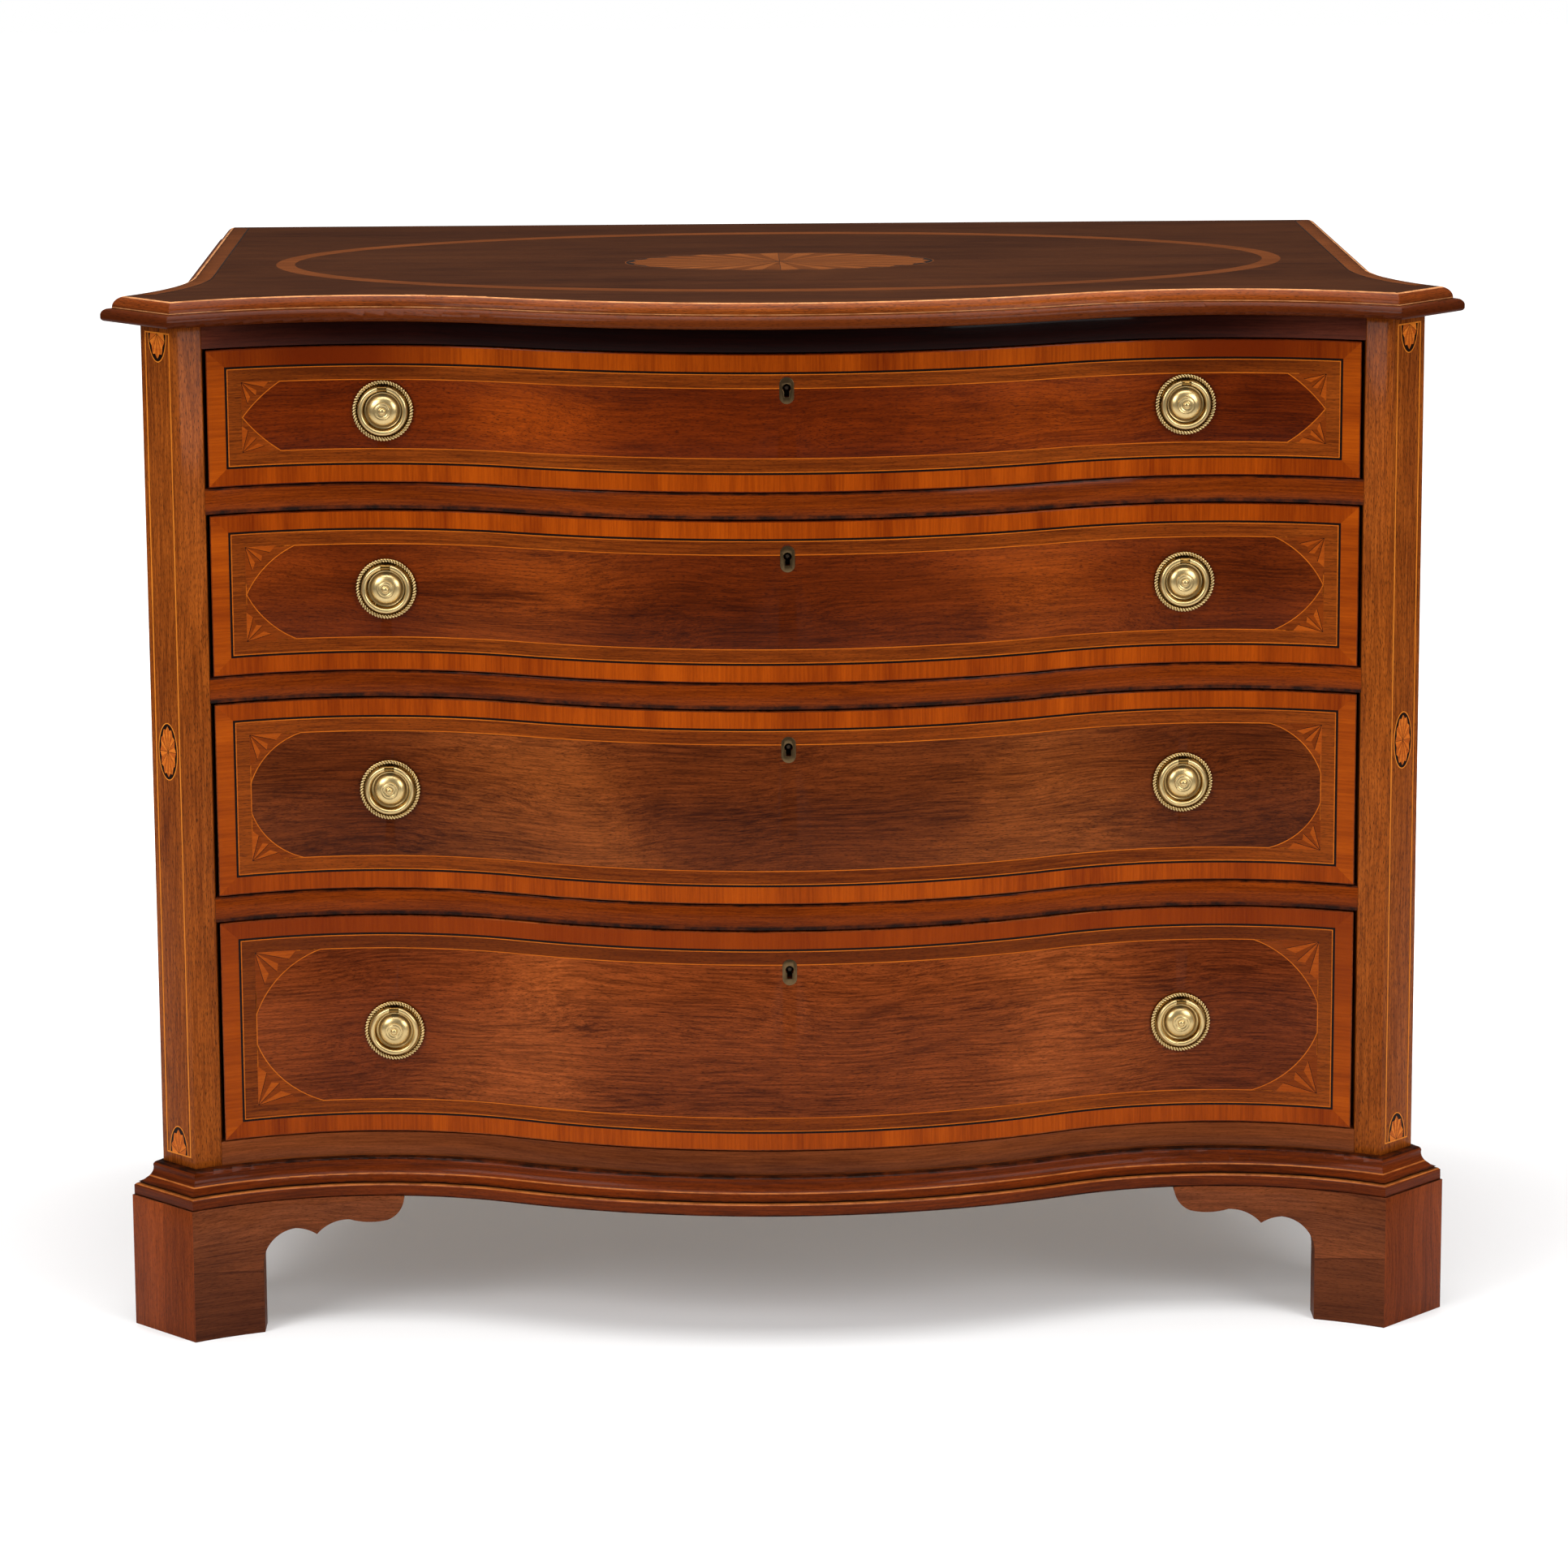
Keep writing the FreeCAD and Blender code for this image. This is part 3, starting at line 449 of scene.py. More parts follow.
    def level_lines(self, wire: Wiring, spot: Socket, height: Socket, marks: Marks) -> Socket:
        """A broken mask of thin level lines.

        Args:
            wire: The material's wiring.
            spot: The place on the piece.
            height: Its height.
            marks: Height and half width of each line.

        Returns:
            The mask.
        """
        patches = wire.noise(spot, self.mark_scale, 3.0, 0.7)
        broken = wire.remap(patches, *self.mark_breaks, *self.mark_shares)
        mask = 0.0
        for level, half in marks:
            line = wire.remap(wire.away(height, level), half * 0.5, half, 1.0, 0.0)
            mask = wire.calc("MAXIMUM", mask, line)
        return wire.times(mask, broken)


@dataclass(frozen=True)
class Brass(Finish):
    """Stamped and polished brass, browned in its recesses."""

    bright: Colour = tint(142, 108, 56)
    brown: Colour = tint(44, 29, 12)
    roughness: float = 0.13
    brown_roughness: float = 0.45
    reach: float = 0.003
    cloud_scale: Point = (160.0, 160.0, 160.0)
    cloud_span: tuple[float, float] = (0.45, 0.8)
    cloud_share: float = 0.35
    dapple_scale: Point = (420.0, 420.0, 420.0)
    dapple_depth: float = 0.00012
    dapple_strength: float = 0.35

    def shader(self, wire: Wiring, spot: Socket) -> Node:
        """Bright metal that is clouded and a little uneven, as old stampings are.

        Args:
            wire: The material's wiring.
            spot: The place on the piece.

        Returns:
            The shader node.
        """
        recess = wire.group(Effects.recess(), reach=self.reach).outputs["Depth"]
        cloud = wire.noise(spot, self.cloud_scale, 3.0, 0.6)
        cloud = wire.remap(cloud, *self.cloud_span, 0.0, self.cloud_share)
        # Tarnish in hollows and clouds; on the pull plates it also stands for painted shade
        tarnish_and_shade = wire.calc("ADD", recess, cloud, True)
        rough = wire.remap(tarnish_and_shade, 0.0, 1.0, self.roughness, self.brown_roughness)
        bump = wire.node("ShaderNodeBump", {"Strength": self.dapple_strength,
                                            "Distance": self.dapple_depth,
                                            "Height": wire.noise(spot, self.dapple_scale)})
        return wire.node("ShaderNodeBsdfPrincipled", {
            "Base Color": wire.mix(tarnish_and_shade, self.bright, self.brown), "Metallic": 1.0,
            "Roughness": rough, "Normal": bump.outputs[0]})


def leg_seam(wire: Wiring, at: dict[str, Socket]) -> Socket:
    """A slanting joint across the leg, with darker wood under it.

    Args:
        wire: The material's wiring.
        at: The place, as X, Y and Z.

    Returns:
        A share to multiply the wood's tone by.
    """
    slope, under_share = 0.12, 0.4
    line_core, line_edge, line_share = 0.0003, 0.0009, 0.5
    level = wire.less(at["Z"], wire.times(wire.away(at["X"]), slope))
    under = wire.times(wire.calc("LESS_THAN", level, 0.0), under_share)
    near = wire.remap(wire.away(level), line_core, line_edge, line_share, 0.0)
    return wire.less(1.0, wire.calc("ADD", near, under))


def cant_seam(wire: Wiring, at: dict[str, Socket]) -> Socket:
    """The cant of a foot in two upright halves, the inner one a little darker.

    Args:
        wire: The material's wiring.
        at: The place, as X, Y and Z.

    Returns:
        A share to multiply the wood's tone by.
    """
    joint_out, inner_share = 0.5262, 0.3
    inner = wire.calc("LESS_THAN", wire.away(at["X"]), joint_out)
    return wire.less(1.0, wire.times(inner, inner_share))


def nose_shade(wire: Wiring, at: dict[str, Socket]) -> Socket:
    """Painted shade on the rounded nose, under the step of the top's moulding.

    Args:
        wire: The material's wiring.
        at: The place, as X, Y and Z.

    Returns:
        A share to multiply the wood's tone by.
    """
    nose_high, step_low, nose_share = TOP_HIGH - 0.0105, TOP_HIGH - 0.0085, 0.12
    return wire.remap(at["Z"], nose_high, step_low, nose_share, 1.0)


def band_shade(wire: Wiring, at: dict[str, Socket]) -> Socket:
    """Painted shade on the banding: darker over the lowest drawer, and under the top where the front
    curves in.

    Args:
        wire: The material's wiring.
        at: The place, as X, Y and Z.

    Returns:
        A share to multiply the wood's tone by.
    """
    fade_from, fade_to, faded = LOWEST_RAIL_LOW - 0.1505, LOWEST_RAIL_LOW - 0.0205, 0.4
    hollow_out, hollow_core, hollow_edge = 0.37, 0.03, 0.1
    rail_from, rail_to = LOWEST_RAIL_LOW + 0.0005, LOWEST_RAIL_LOW + 0.0045
    top_from, top_to = TOP_RAIL_LOW - 0.0317, TOP_RAIL_LOW - 0.0157
    lowest = wire.calc("MAXIMUM", wire.remap(at["Z"], fade_from, fade_to, 1.0, faded),
                       wire.remap(at["Z"], rail_from, rail_to))
    under_top = wire.remap(at["Z"], top_from, top_to, 1.0, 0.0)
    out = wire.away(wire.away(at["X"]), hollow_out)
    return wire.times(lowest, wire.calc("MAXIMUM", under_top, wire.remap(out, hollow_core, hollow_edge)))


# Woods of the case and the top

# Painted shadow lines at each rail's lower and upper edge, along the gaps by the drawers
RAIL_SHADOW_LINES = tuple((corner.z, half) for rail in RAILS
                   for corner, half in zip(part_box(rail), (0.0045, 0.0018)))
BOARD_JOINTS = tuple((CASE_LOW + (CASE_HIGH - CASE_LOW) * joint / 4, 0.0014) for joint in (1, 2, 3))
# Light lines of painted highlight and wear on the arris and the step of the top's moulding
TOP_LINES = {"highlight_and_wear_lines": ((TOP_HIGH - 0.0004, 0.0006), (TOP_HIGH - 0.0091, 0.0005)),
             "highlight_and_wear_tint": tint(196, 134, 84)}
# Light lines of painted highlight and wear on the base moulding's arrises, and dark lines in its groove
# and joints
BASE_LINES = {"highlight_and_wear_lines": ((CASE_LOW + 0.0158, 0.0006), (CASE_LOW + 0.0096, 0.0006)),
              "shade_and_joint_lines": ((CASE_LOW + 0.0107, 0.0015), (CASE_LOW + 0.0275, 0.0012),
                         (CASE_LOW + 0.0003, 0.0012)),
              "highlight_and_wear_tint": tint(176, 100, 44)}
RAIL = Wood("rail_mahogany", tint(138, 57, 6), tint(80, 26, 1), seed=3.1, shaded_and_grimy=True,
            shade_and_joint_lines=RAIL_SHADOW_LINES)
LOW_RAIL = Wood("low_rail_mahogany", tint(126, 64, 29), tint(78, 35, 14), seed=3.4, pores=0.3,
                shaded_and_grimy=True)
# Painted shadow under the top's overhang: nearly black in the middle, lighter at the ends
FRIEZE = Wood("frieze_mahogany", tint(112, 54, 34), tint(62, 26, 16), seed=3.6, pores=0.3,
              across=((0.0, 0.07), (0.25, 0.07), (0.36, 0.16), (0.44, 0.6), (0.49, 1.0)))
POST = Wood("post_mahogany", tint(160, 81, 22), tint(96, 40, 7), grain=Grain.UPRIGHT, seed=5.4,
            figure=0.3, pores=0.8, shaded_and_grimy=True)
SIDE = Wood("side_mahogany", tint(150, 74, 26), tint(88, 34, 8), grain=Grain.UPRIGHT, seed=9.7,
            figure=0.6, waviness=0.05)
TOP = Wood("top_mahogany", tint(67, 35, 15), tint(37, 15, 5), grain=Grain.ALONG_TOP, seed=1.7,
           figure=0.4, waviness=0.012, gloss=0.0, roughness=0.6, shine=0.03, pores=0.3)
# Painted light on the top's front edge: brightest at the middle of the bow, darker towards the ends
TOP_EDGE = Wood("top_edge_mahogany", tint(156, 78, 24), tint(86, 36, 8), seed=2.2, pores=0.6,
                across=((0.0, 1.0), (0.25, 0.92), (0.38, 0.7), (0.5, 0.55)), shaded_and_grimy=True,
                seam_and_shade=nose_shade, **TOP_LINES)
TOP_END = Wood("top_end_mahogany", tint(118, 58, 20), tint(64, 27, 8), grain=Grain.ALONG_SIDE,
               seed=2.9, shaded_and_grimy=True, seam_and_shade=nose_shade, **TOP_LINES)
BASE = Wood("base_mahogany", tint(116, 46, 9), tint(58, 20, 4), seed=4.6, pores=0.4, shaded_and_grimy=True,
            **BASE_LINES)
BASE_END = replace(BASE, name="base_end_mahogany", grain=Grain.ALONG_SIDE, seed=4.9)
FOOT = Wood("foot_mahogany", tint(126, 66, 34), tint(62, 27, 14), seed=7.3, waviness=0.05,
            shaded_and_grimy=True, seam_and_shade=leg_seam)
FOOT_SIDE = replace(FOOT, name="foot_side_mahogany", grain=Grain.ALONG_SIDE, seed=7.9, seam_and_shade=None)
FOOT_CANT = Wood("foot_cant_mahogany", tint(150, 68, 22), tint(79, 29, 8), grain=Grain.UPRIGHT,
                 seed=6.2, figure=0.6, waviness=0.09, shaded_and_grimy=True, seam_and_shade=cant_seam)

# Plain woods inside and behind

BACKBOARD = Wood("back_pine", tint(150, 106, 62), tint(102, 66, 34), pore=tint(80, 48, 24),
                 seed=6.1, figure=0.6, waviness=0.05, gloss=0.0, roughness=0.7,
                 shade_and_joint_lines=BOARD_JOINTS)
LINING = Wood("drawer_lining", tint(172, 128, 80), tint(134, 92, 54), pore=tint(92, 58, 32),
              seed=8.8, grain=Grain.ALONG_SIDE, gloss=0.0, roughness=0.6)
PINE = Wood("carcase_pine", tint(160, 112, 64), tint(116, 74, 38), pore=tint(90, 54, 26), seed=6.6,
            grain=Grain.ALONG_TOP, gloss=0.0, roughness=0.7)

# Veneers and lines of the inlay

# Painted light and shade across the crossbanding, and painted shade by height
CROSSBAND = Wood("satinwood_up", tint(174, 76, 4), tint(112, 37, 1), grain=Grain.UP_FRONT,
                 seed=11.0, figure=0.65, waviness=0.004, pores=0.1, seam_and_shade=band_shade,
                 across=((0.0, 0.86), (0.12, 0.9), (0.2, 1.0), (0.28, 1.0), (0.4, 0.74), (0.47, 0.8)))
CROSSBAND_SIDE = Wood("satinwood_along", tint(168, 75, 5), tint(114, 40, 2), seed=12.0,
                      figure=0.65, waviness=0.004, pores=0.1, seam_and_shade=band_shade)
# Painted light and shade across the band, and painted shade by height
BAND = Wood("band_mahogany", tint(148, 69, 14), tint(82, 31, 4), seed=13.0, figure=0.35,
            waviness=0.01, seam_and_shade=band_shade,
            across=((0.0, 0.72), (0.12, 0.74), (0.2, 1.0), (0.3, 0.84), (0.38, 0.76), (0.47, 1.0)))
SPANDREL = Wood("spandrel_mahogany", tint(138, 61, 12), tint(82, 30, 4), seed=14.0, figure=0.4,
                pores=0.4)
BOXWOOD = Wood("boxwood_line", tint(200, 106, 24), tint(160, 74, 11), seed=15.0, pores=0.1)
BOXWOOD_UP = Wood("boxwood_line_up", tint(232, 142, 48), tint(196, 106, 26), grain=Grain.UPRIGHT,
                  seed=15.5, pores=0.1)
EBONY = Wood("ebony_line", tint(30, 16, 9), tint(16, 9, 6), seed=16.0, pores=0.1)
PETAL = Wood("petal_pale", tint(222, 126, 40), tint(186, 88, 18), seed=17.0, pores=0.1)
PETAL_DARK = Wood("petal_scorched", tint(196, 100, 30), tint(148, 64, 14), seed=18.0, pores=0.1)
FAN = Wood("fan_pale", tint(164, 77, 15), tint(132, 54, 7), seed=17.5, pores=0.2)
FAN_DARK = Wood("fan_scorched", tint(128, 54, 8), tint(98, 38, 4), seed=18.5, pores=0.2)
TOP_RING = Wood("top_ring", tint(104, 55, 23), tint(70, 34, 12), grain=Grain.ALONG_TOP, seed=19.0,
                figure=0.4, pores=0.2, gloss=0.0, roughness=0.6, shine=0.03)
TOP_PETAL = replace(TOP_RING, name="top_petal", pale=tint(120, 67, 29), dark=tint(88, 44, 16),
                    seed=20.0, figure=0.5, pores=0.15)
TOP_PETAL_DARK = replace(TOP_PETAL, name="top_petal_scorched", pale=tint(98, 52, 21),
                         dark=tint(68, 33, 12), seed=21.0)

# Metals

BRASS = Brass("brass")
# Browned further into its hollows: patina, and painted shade where the ring shades the plate
PLATE_BRASS = Brass("plate_brass", reach=0.009)
OLD_BRASS = Brass("keyhole_brass", tint(112, 90, 62), tint(38, 28, 17), 0.32)
LOCK_IRON = Brass("lock_iron", tint(74, 62, 52), tint(34, 26, 20), 0.5)


# Modelling


class Pick(Enum):
    """What edit mode selects."""

    VERTS = (True, False, False)
    EDGES = (False, True, False)
    FACES = (False, False, True)


def take(*pieces: Piece) -> None:
    """Leaves only these objects selected, in object mode.

    Args:
        pieces: The objects, the first of which becomes the active one.
    """
    if bpy.context.mode != "OBJECT":
        bpy.ops.object.mode_set(mode="OBJECT")
    bpy.ops.object.select_all(action="DESELECT")
    for obj in pieces:
        obj.select_set(True)
    bpy.context.view_layer.objects.active = pieces[0]


@contextmanager
def shaping(obj: Piece, pick: Pick = Pick.FACES) -> Iterator[None]:
    """Edit mode on one object, with everything selected, and object mode after it.

    Args:
        obj: The mesh object to work on.
        pick: Whether vertices, edges or faces are selected.

    Returns:
        A context for a with statement.
    """
    take(obj)
    bpy.context.tool_settings.mesh_select_mode = pick.value
    bpy.ops.object.mode_set(mode="EDIT")
    bpy.ops.mesh.select_all(action="SELECT")
    yield
    bpy.ops.object.mode_set(mode="OBJECT")


def choose(obj: Piece, pick: Pick, test: Callable[[Vector, Vector], bool]) -> int:
    """Selects by place, and comes back to edit mode.

    Args:
        obj: The object in edit mode.
        pick: What is selected.
        test: Given a vertex's place and normal, an edge's middle and run, or a face's centre
            and normal, says whether it is selected.

    Returns:
        How many were selected.
    """
    bpy.ops.object.mode_set(mode="OBJECT")
    bpy.context.tool_settings.mesh_select_mode = pick.value
    mesh = obj.data
    for items in (mesh.vertices, mesh.edges, mesh.polygons):
        items.foreach_set("select", [False] * len(items))
    if pick is Pick.VERTS:
        found = [(item, item.co, item.normal) for item in mesh.vertices]
    elif pick is Pick.EDGES:
        ends = [(item, *(mesh.vertices[index].co for index in item.vertices)) for item in mesh.edges]
        found = [(item, (first + second) / 2, second - first) for item, first, second in ends]
    else:
        found = [(item, item.center, item.normal) for item in mesh.polygons]
    for item, at, way in found:
        item.select = test(at, way)
    chosen = sum(item.select for item, at, way in found)
    bpy.ops.object.mode_set(mode="EDIT")
    return chosen


def new_piece(name: str) -> Piece:
    """Names the primitive that was just added.

    Args:
        name: The name for the object and its mesh.

    Returns:
        The object.
    """
    obj = bpy.context.view_layer.objects.active
    obj.name = name
    obj.data.name = name
    return obj


def point(name: str, at: Vector) -> Piece:
    """Makes a mesh of one point.

    Args:
        name: The piece's name.
        at: Where the point is.

    Returns:
        The object, from which a line can be spun or extruded.
    """
    bpy.ops.mesh.primitive_plane_add(size=0.001, location=at)
    obj = settle(new_piece(name))
    with shaping(obj, Pick.VERTS):
        bpy.ops.mesh.merge(type="CENTER")
    return obj


def copy_of(source: Piece, name: str) -> Piece:
    """Copies an object's mesh into a new object at the origin.

    Args:
        source: The object to copy.
        name: The copy's name.

    Returns:
        The copy, on no body yet.
    """
    copy = bpy.data.objects.new(name, source.data.copy())
    bpy.context.scene.collection.objects.link(copy)
    return copy


def settle(obj: Piece) -> Piece:
    """Puts the object's place, turn and size into its mesh.

    Args:
        obj: The object.

    Returns:
        The same object, at the origin.
    """
    take(obj)
    bpy.ops.object.transform_apply(location=True, rotation=True, scale=True)
    return obj


def with_modifier(obj: Piece, kind: str, **settings: object) -> Piece:
    """Adds a modifier and applies it.

    Args:
        obj: The object.
        kind: Blender's name of the modifier's type.
        settings: The modifier's own properties.

    Returns:
        The same object.
    """
    take(obj)
    bpy.ops.object.modifier_add(type=kind)
    modifier = obj.modifiers[-1]
    for name, value in settings.items():
        setattr(modifier, name, value)
    bpy.ops.object.modifier_apply(modifier=modifier.name)
    return obj


def point_outwards(obj: Piece) -> Piece:
    """Merges doubled points and turns every face of a closed piece outwards.

    Args:
        obj: The closed piece.

    Returns:
        The same piece.
    """
    with shaping(obj):
        bpy.ops.mesh.remove_doubles(threshold=DOUBLED)
        bpy.ops.mesh.normals_make_consistent(inside=False)
    return obj


def smooth(obj: Piece, angle_deg: float) -> None:
    """Shades an object smooth, apart from edges where its faces meet more sharply."""
    take(obj)
    bpy.ops.object.shade_smooth_by_angle(angle=math.radians(angle_deg))


def joined(name: str, parts: Sequence[Piece]) -> Piece:
    """Joins objects into one piece.

    Args:
        name: The piece's name.
        parts: What it is joined from.

    Returns:
        The piece.
    """
    take(*parts)
    if len(parts) > 1:
        bpy.ops.object.join()
    return new_piece(name)


def dress(obj: Piece, *finishes: Finish) -> None:
    """Gives an object its finishes.

    Args:
        obj: The object, whose faces all start in the first finish.
        finishes: One for each material slot.
    """
    obj.data.materials.clear()
    for finish in finishes:
        obj.data.materials.append(finish.material())


def paint(obj: Piece, slot: int) -> None:
    """Gives the faces selected in edit mode one of the object's material slots."""
    obj.active_material_index = slot
    bpy.ops.object.material_slot_assign()


def place(obj: Piece, body: str) -> None:
    """Hands a finished piece to the frame.

    Args:
        obj: The piece, with its place in its mesh.
        body: The CAD body that it rides on.
    """
    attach(obj, body)
    log.info("%s rides on %s", obj.name, body)


def polished_copy(node: str, body: str, slot: str, bevel: float, *finishes: Finish,
                  faces: Callable[[Vector, Vector], int] | None = None,
                  smooth_deg: float = 32.0, simpler: bool = True) -> Piece:
    """A merged copy of a CAD node with its edges eased, which stands for the node.

    Args:
        node: The CAD node.
        body: The body that the node belongs to.
        slot: The record's material slot; not used.
        bevel: Width of the eased edges.
        finishes: The finishes of the copy.
        faces: Given a face's centre and normal, the number of its finish.
        smooth_deg: Faces that meet more sharply than this keep a crisp edge.
        simpler: Whether triangles that lie in one plane are merged.

    Returns:
        The copy.
    """
    one_plane_deg, edge_deg = 0.3, 35
    obj = copy_of(NODES[node], node + "_polished")
    with shaping(obj):
        bpy.ops.mesh.remove_doubles(threshold=DOUBLED)
        if simpler:
            bpy.ops.mesh.dissolve_limited(angle_limit=math.radians(one_plane_deg))
    if bevel:
        with_modifier(obj, "BEVEL", width=bevel, segments=2, limit_method="ANGLE",
                      angle_limit=math.radians(edge_deg), use_clamp_overlap=True,
                      harden_normals=False)
    smooth(obj, smooth_deg)
    dress(obj, *finishes)
    if faces:
        for index in range(1, len(finishes)):
            with shaping(obj):
                if choose(obj, Pick.FACES, lambda centre, normal: faces(centre, normal) == index):
                    paint(obj, index)
    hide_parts(node)
    place(obj, body)
    return obj


def hand(side: int) -> str:
    """The word for a side: 1 is the right and -1 the left."""
    return "right" if side > 0 else "left"


def on_the_side(at: Vector) -> bool:
    """Whether a place is on the right or left side, behind the canted corner."""
    return abs(at.x) > SIDE_OUT and at.y > SIDE_FRONT


# Inlay


@dataclass
class Inlay:
    """Thin veneers and lines, cut flat and laid on a surface."""

    flush: float = 0.00012
    keyhole_half: float = 0.0068
    end_margin: float = 0.0002
    crease_pitch: float = 0.0005
    rim_from: float = 0.9
    spoke_to: float = 0.53

    def crease(self, obj: Piece, target: Piece) -> None:
        """Cuts a sheet where the facets of the target meet, so that it bends as the target does.

        Args:
            obj: The flat sheet.
            target: The curved front, let in for the keyhole plate in its middle.
        """
        wide = [corner.co.x for corner in obj.data.vertices]
        low, high = min(wide), max(wide)
        places = sorted({round(corner.co.x, 5) for corner in target.data.vertices
                         if low + self.end_margin < corner.co.x < high - self.end_margin
                         and abs(corner.co.x) > self.keyhole_half})
        last = low
        with shaping(obj):
            for at in places:
                if at - last > self.crease_pitch:
                    bpy.ops.mesh.select_all(action="SELECT")
                    bpy.ops.mesh.bisect(plane_co=(at, 0, 0), plane_no=(1, 0, 0))
                    last = at

    def lay_on_front(self, obj: Piece, target: Piece, proud: float = 1.0) -> Piece:
        """Presses a flat sheet back on to a curved front and gives it its thickness.

        Args:
            obj: A sheet in front of the target, facing it.
            target: The surface that it is laid on.
            proud: How far it stands out, as a multiple of flush.

        Returns:
            The sheet, now a closed piece.
        """
        self.crease(obj, target)
        with_modifier(obj, "SHRINKWRAP", target=target, wrap_method="PROJECT", use_project_y=True,
                      use_positive_direction=True, use_negative_direction=False)
        return self.thicken(obj, proud)

    def thicken(self, obj: Piece, proud: float = 1.0) -> Piece:
        """Gives a sheet its thickness, half of it sunk."""
        with_modifier(obj, "SOLIDIFY", thickness=2 * self.flush * proud, offset=0.0)
        return point_outwards(obj)

    def frame(self, name: str, half: float, low: float, high: float, widths: Sequence[float],
              finishes: Sequence[Finish], depth: float) -> Piece:
        """A flat rectangular frame of mitred bands that faces the front.

        Args:
            name: The piece's name.
            half: Half its width.
            low: Height of its lower edge.
            high: Height of its upper edge.
            widths: The bands' widths, from the outside in.
            finishes: The bands' finishes.
            depth: Where it stands along Y.

        Returns:
            The frame, as a sheet.
        """
        bpy.ops.mesh.primitive_plane_add(size=1, location=(0, depth, (low + high) / 2),
                                         rotation=UPRIGHT)
        obj = new_piece(name)
        obj.scale = (2 * half, high - low, 1)
        settle(obj)
        dress(obj, *finishes)
        with shaping(obj):
            for index, width in enumerate(widths):
                paint(obj, index)
                bpy.ops.mesh.inset(thickness=width, use_boundary=True, use_even_offset=True)
            bpy.ops.mesh.delete(type="FACE")
        return obj

    def arc(self, name: str, start: Vector, centre: Vector, angle: float, steps: int) -> Piece:
        """A line of short edges along an upright arc, spun from one point.

        Args:
            name: The piece's name.
            start: Where the arc starts.
            centre: Its centre.
            angle: The turn from its start to its end.
            steps: How many edges it has.

        Returns:
            The line.
        """
        obj = point(name, start)
        with shaping(obj, Pick.VERTS):
            bpy.ops.mesh.spin(steps=steps, angle=angle, center=centre, axis=(0, 1, 0))
        return obj

    def grow(self, obj: Piece, centre: Vector, scales: Sequence[float]) -> Piece:
        """Extrudes the edges of a line again and again.

        Args:
            obj: The line.
            centre: The point about which each extrusion is scaled.
            scales: The scale of each extrusion.

        Returns:
            The same object, now a sheet.
        """
        with shaping(obj, Pick.EDGES):
            for scale in scales:
                bpy.ops.mesh.extrude_edges_move()
                bpy.ops.transform.resize(value=(scale, scale, scale), center_override=centre)
        with shaping(obj, Pick.VERTS):
            bpy.ops.mesh.remove_doubles(threshold=HAIR)
        return obj

    def stand(self, obj: Piece, centre: Point, facing: Point, keep: Sequence[Point]) -> Piece:
        """Cuts a flat sheet down to what is kept and puts it in its place.

        Args:
            obj: The sheet, flat at the origin.
            centre: Its place.
            facing: Its turn about X, Y and Z.
            keep: Directions in which it is kept, where it isn't whole.

        Returns:
            The same sheet.
        """
        for way in keep:
            with shaping(obj):
                bpy.ops.mesh.bisect(plane_co=(0, 0, 0), plane_no=way, clear_inner=True)
        obj.rotation_euler = facing
        obj.location = centre
        return settle(obj)

    def fan(self, name: str, centre: Point, width: float, height: float, count: int,
            reaches: Sequence[float], lines: Sequence[int], line: float, finishes: Sequence[Finish],
            facing: Point, keep: Sequence[Point] = ()) -> Piece:
        """A fan or patera of petals with a dark line up the middle of each.

        Args:
            name: The piece's name.
            centre: Where the petals meet.
            width: Reach of the petals to the side.
            height: Reach of the petals upwards.
            count: Corners in the full turn.
            reaches: How far the corners reach, as shares, repeated round the turn.
            lines: Which of the repeated corners have a dark line to the centre.
            line: Half the width of a dark line.
            finishes: Petals before a line, after a line, and the line.
            facing: Turn of the fan about X, Y and Z.
            keep: Directions in which the fan is kept, where it isn't a full turn.

        Returns:
            The fan, as a sheet.
        """
        bpy.ops.mesh.primitive_circle_add(vertices=count, radius=1.0, fill_type="TRIFAN",
                                          location=(0, 0, 0))
        obj = new_piece(name)
        dress(obj, *finishes)
        step = 2 * math.pi / count

        def corner(at: Vector) -> float:
            """The number of the corner in whose direction a point lies."""
            return (math.atan2(at.x, at.y) % (2 * math.pi)) / step

        def on_line(middle: Vector, run: Vector) -> bool:
            """Whether an edge from the centre carries a dark line."""
            at = Vector((middle.x / width, middle.y / height, 0))
            return at.length < self.spoke_to and round(corner(at)) % len(reaches) in lines

        with shaping(obj, Pick.VERTS):
            choose(obj, Pick.FACES, lambda at, normal: int(corner(at)) % len(reaches) in lines)
            paint(obj, 1)
            for index, reach in enumerate(reaches):
                choose(obj, Pick.VERTS, lambda at, normal: at.length > self.rim_from
                       and round(corner(at)) % len(reaches) == index)
                bpy.ops.transform.resize(value=(reach, reach, reach), center_override=(0, 0, 0))
        obj.scale = (width, height, 1)
        settle(obj)
        with shaping(obj, Pick.EDGES):
            choose(obj, Pick.EDGES, on_line)
            bpy.ops.mesh.bevel(offset=line, segments=1, affect="EDGES")
            paint(obj, 2)
        return self.stand(obj, centre, facing, keep)

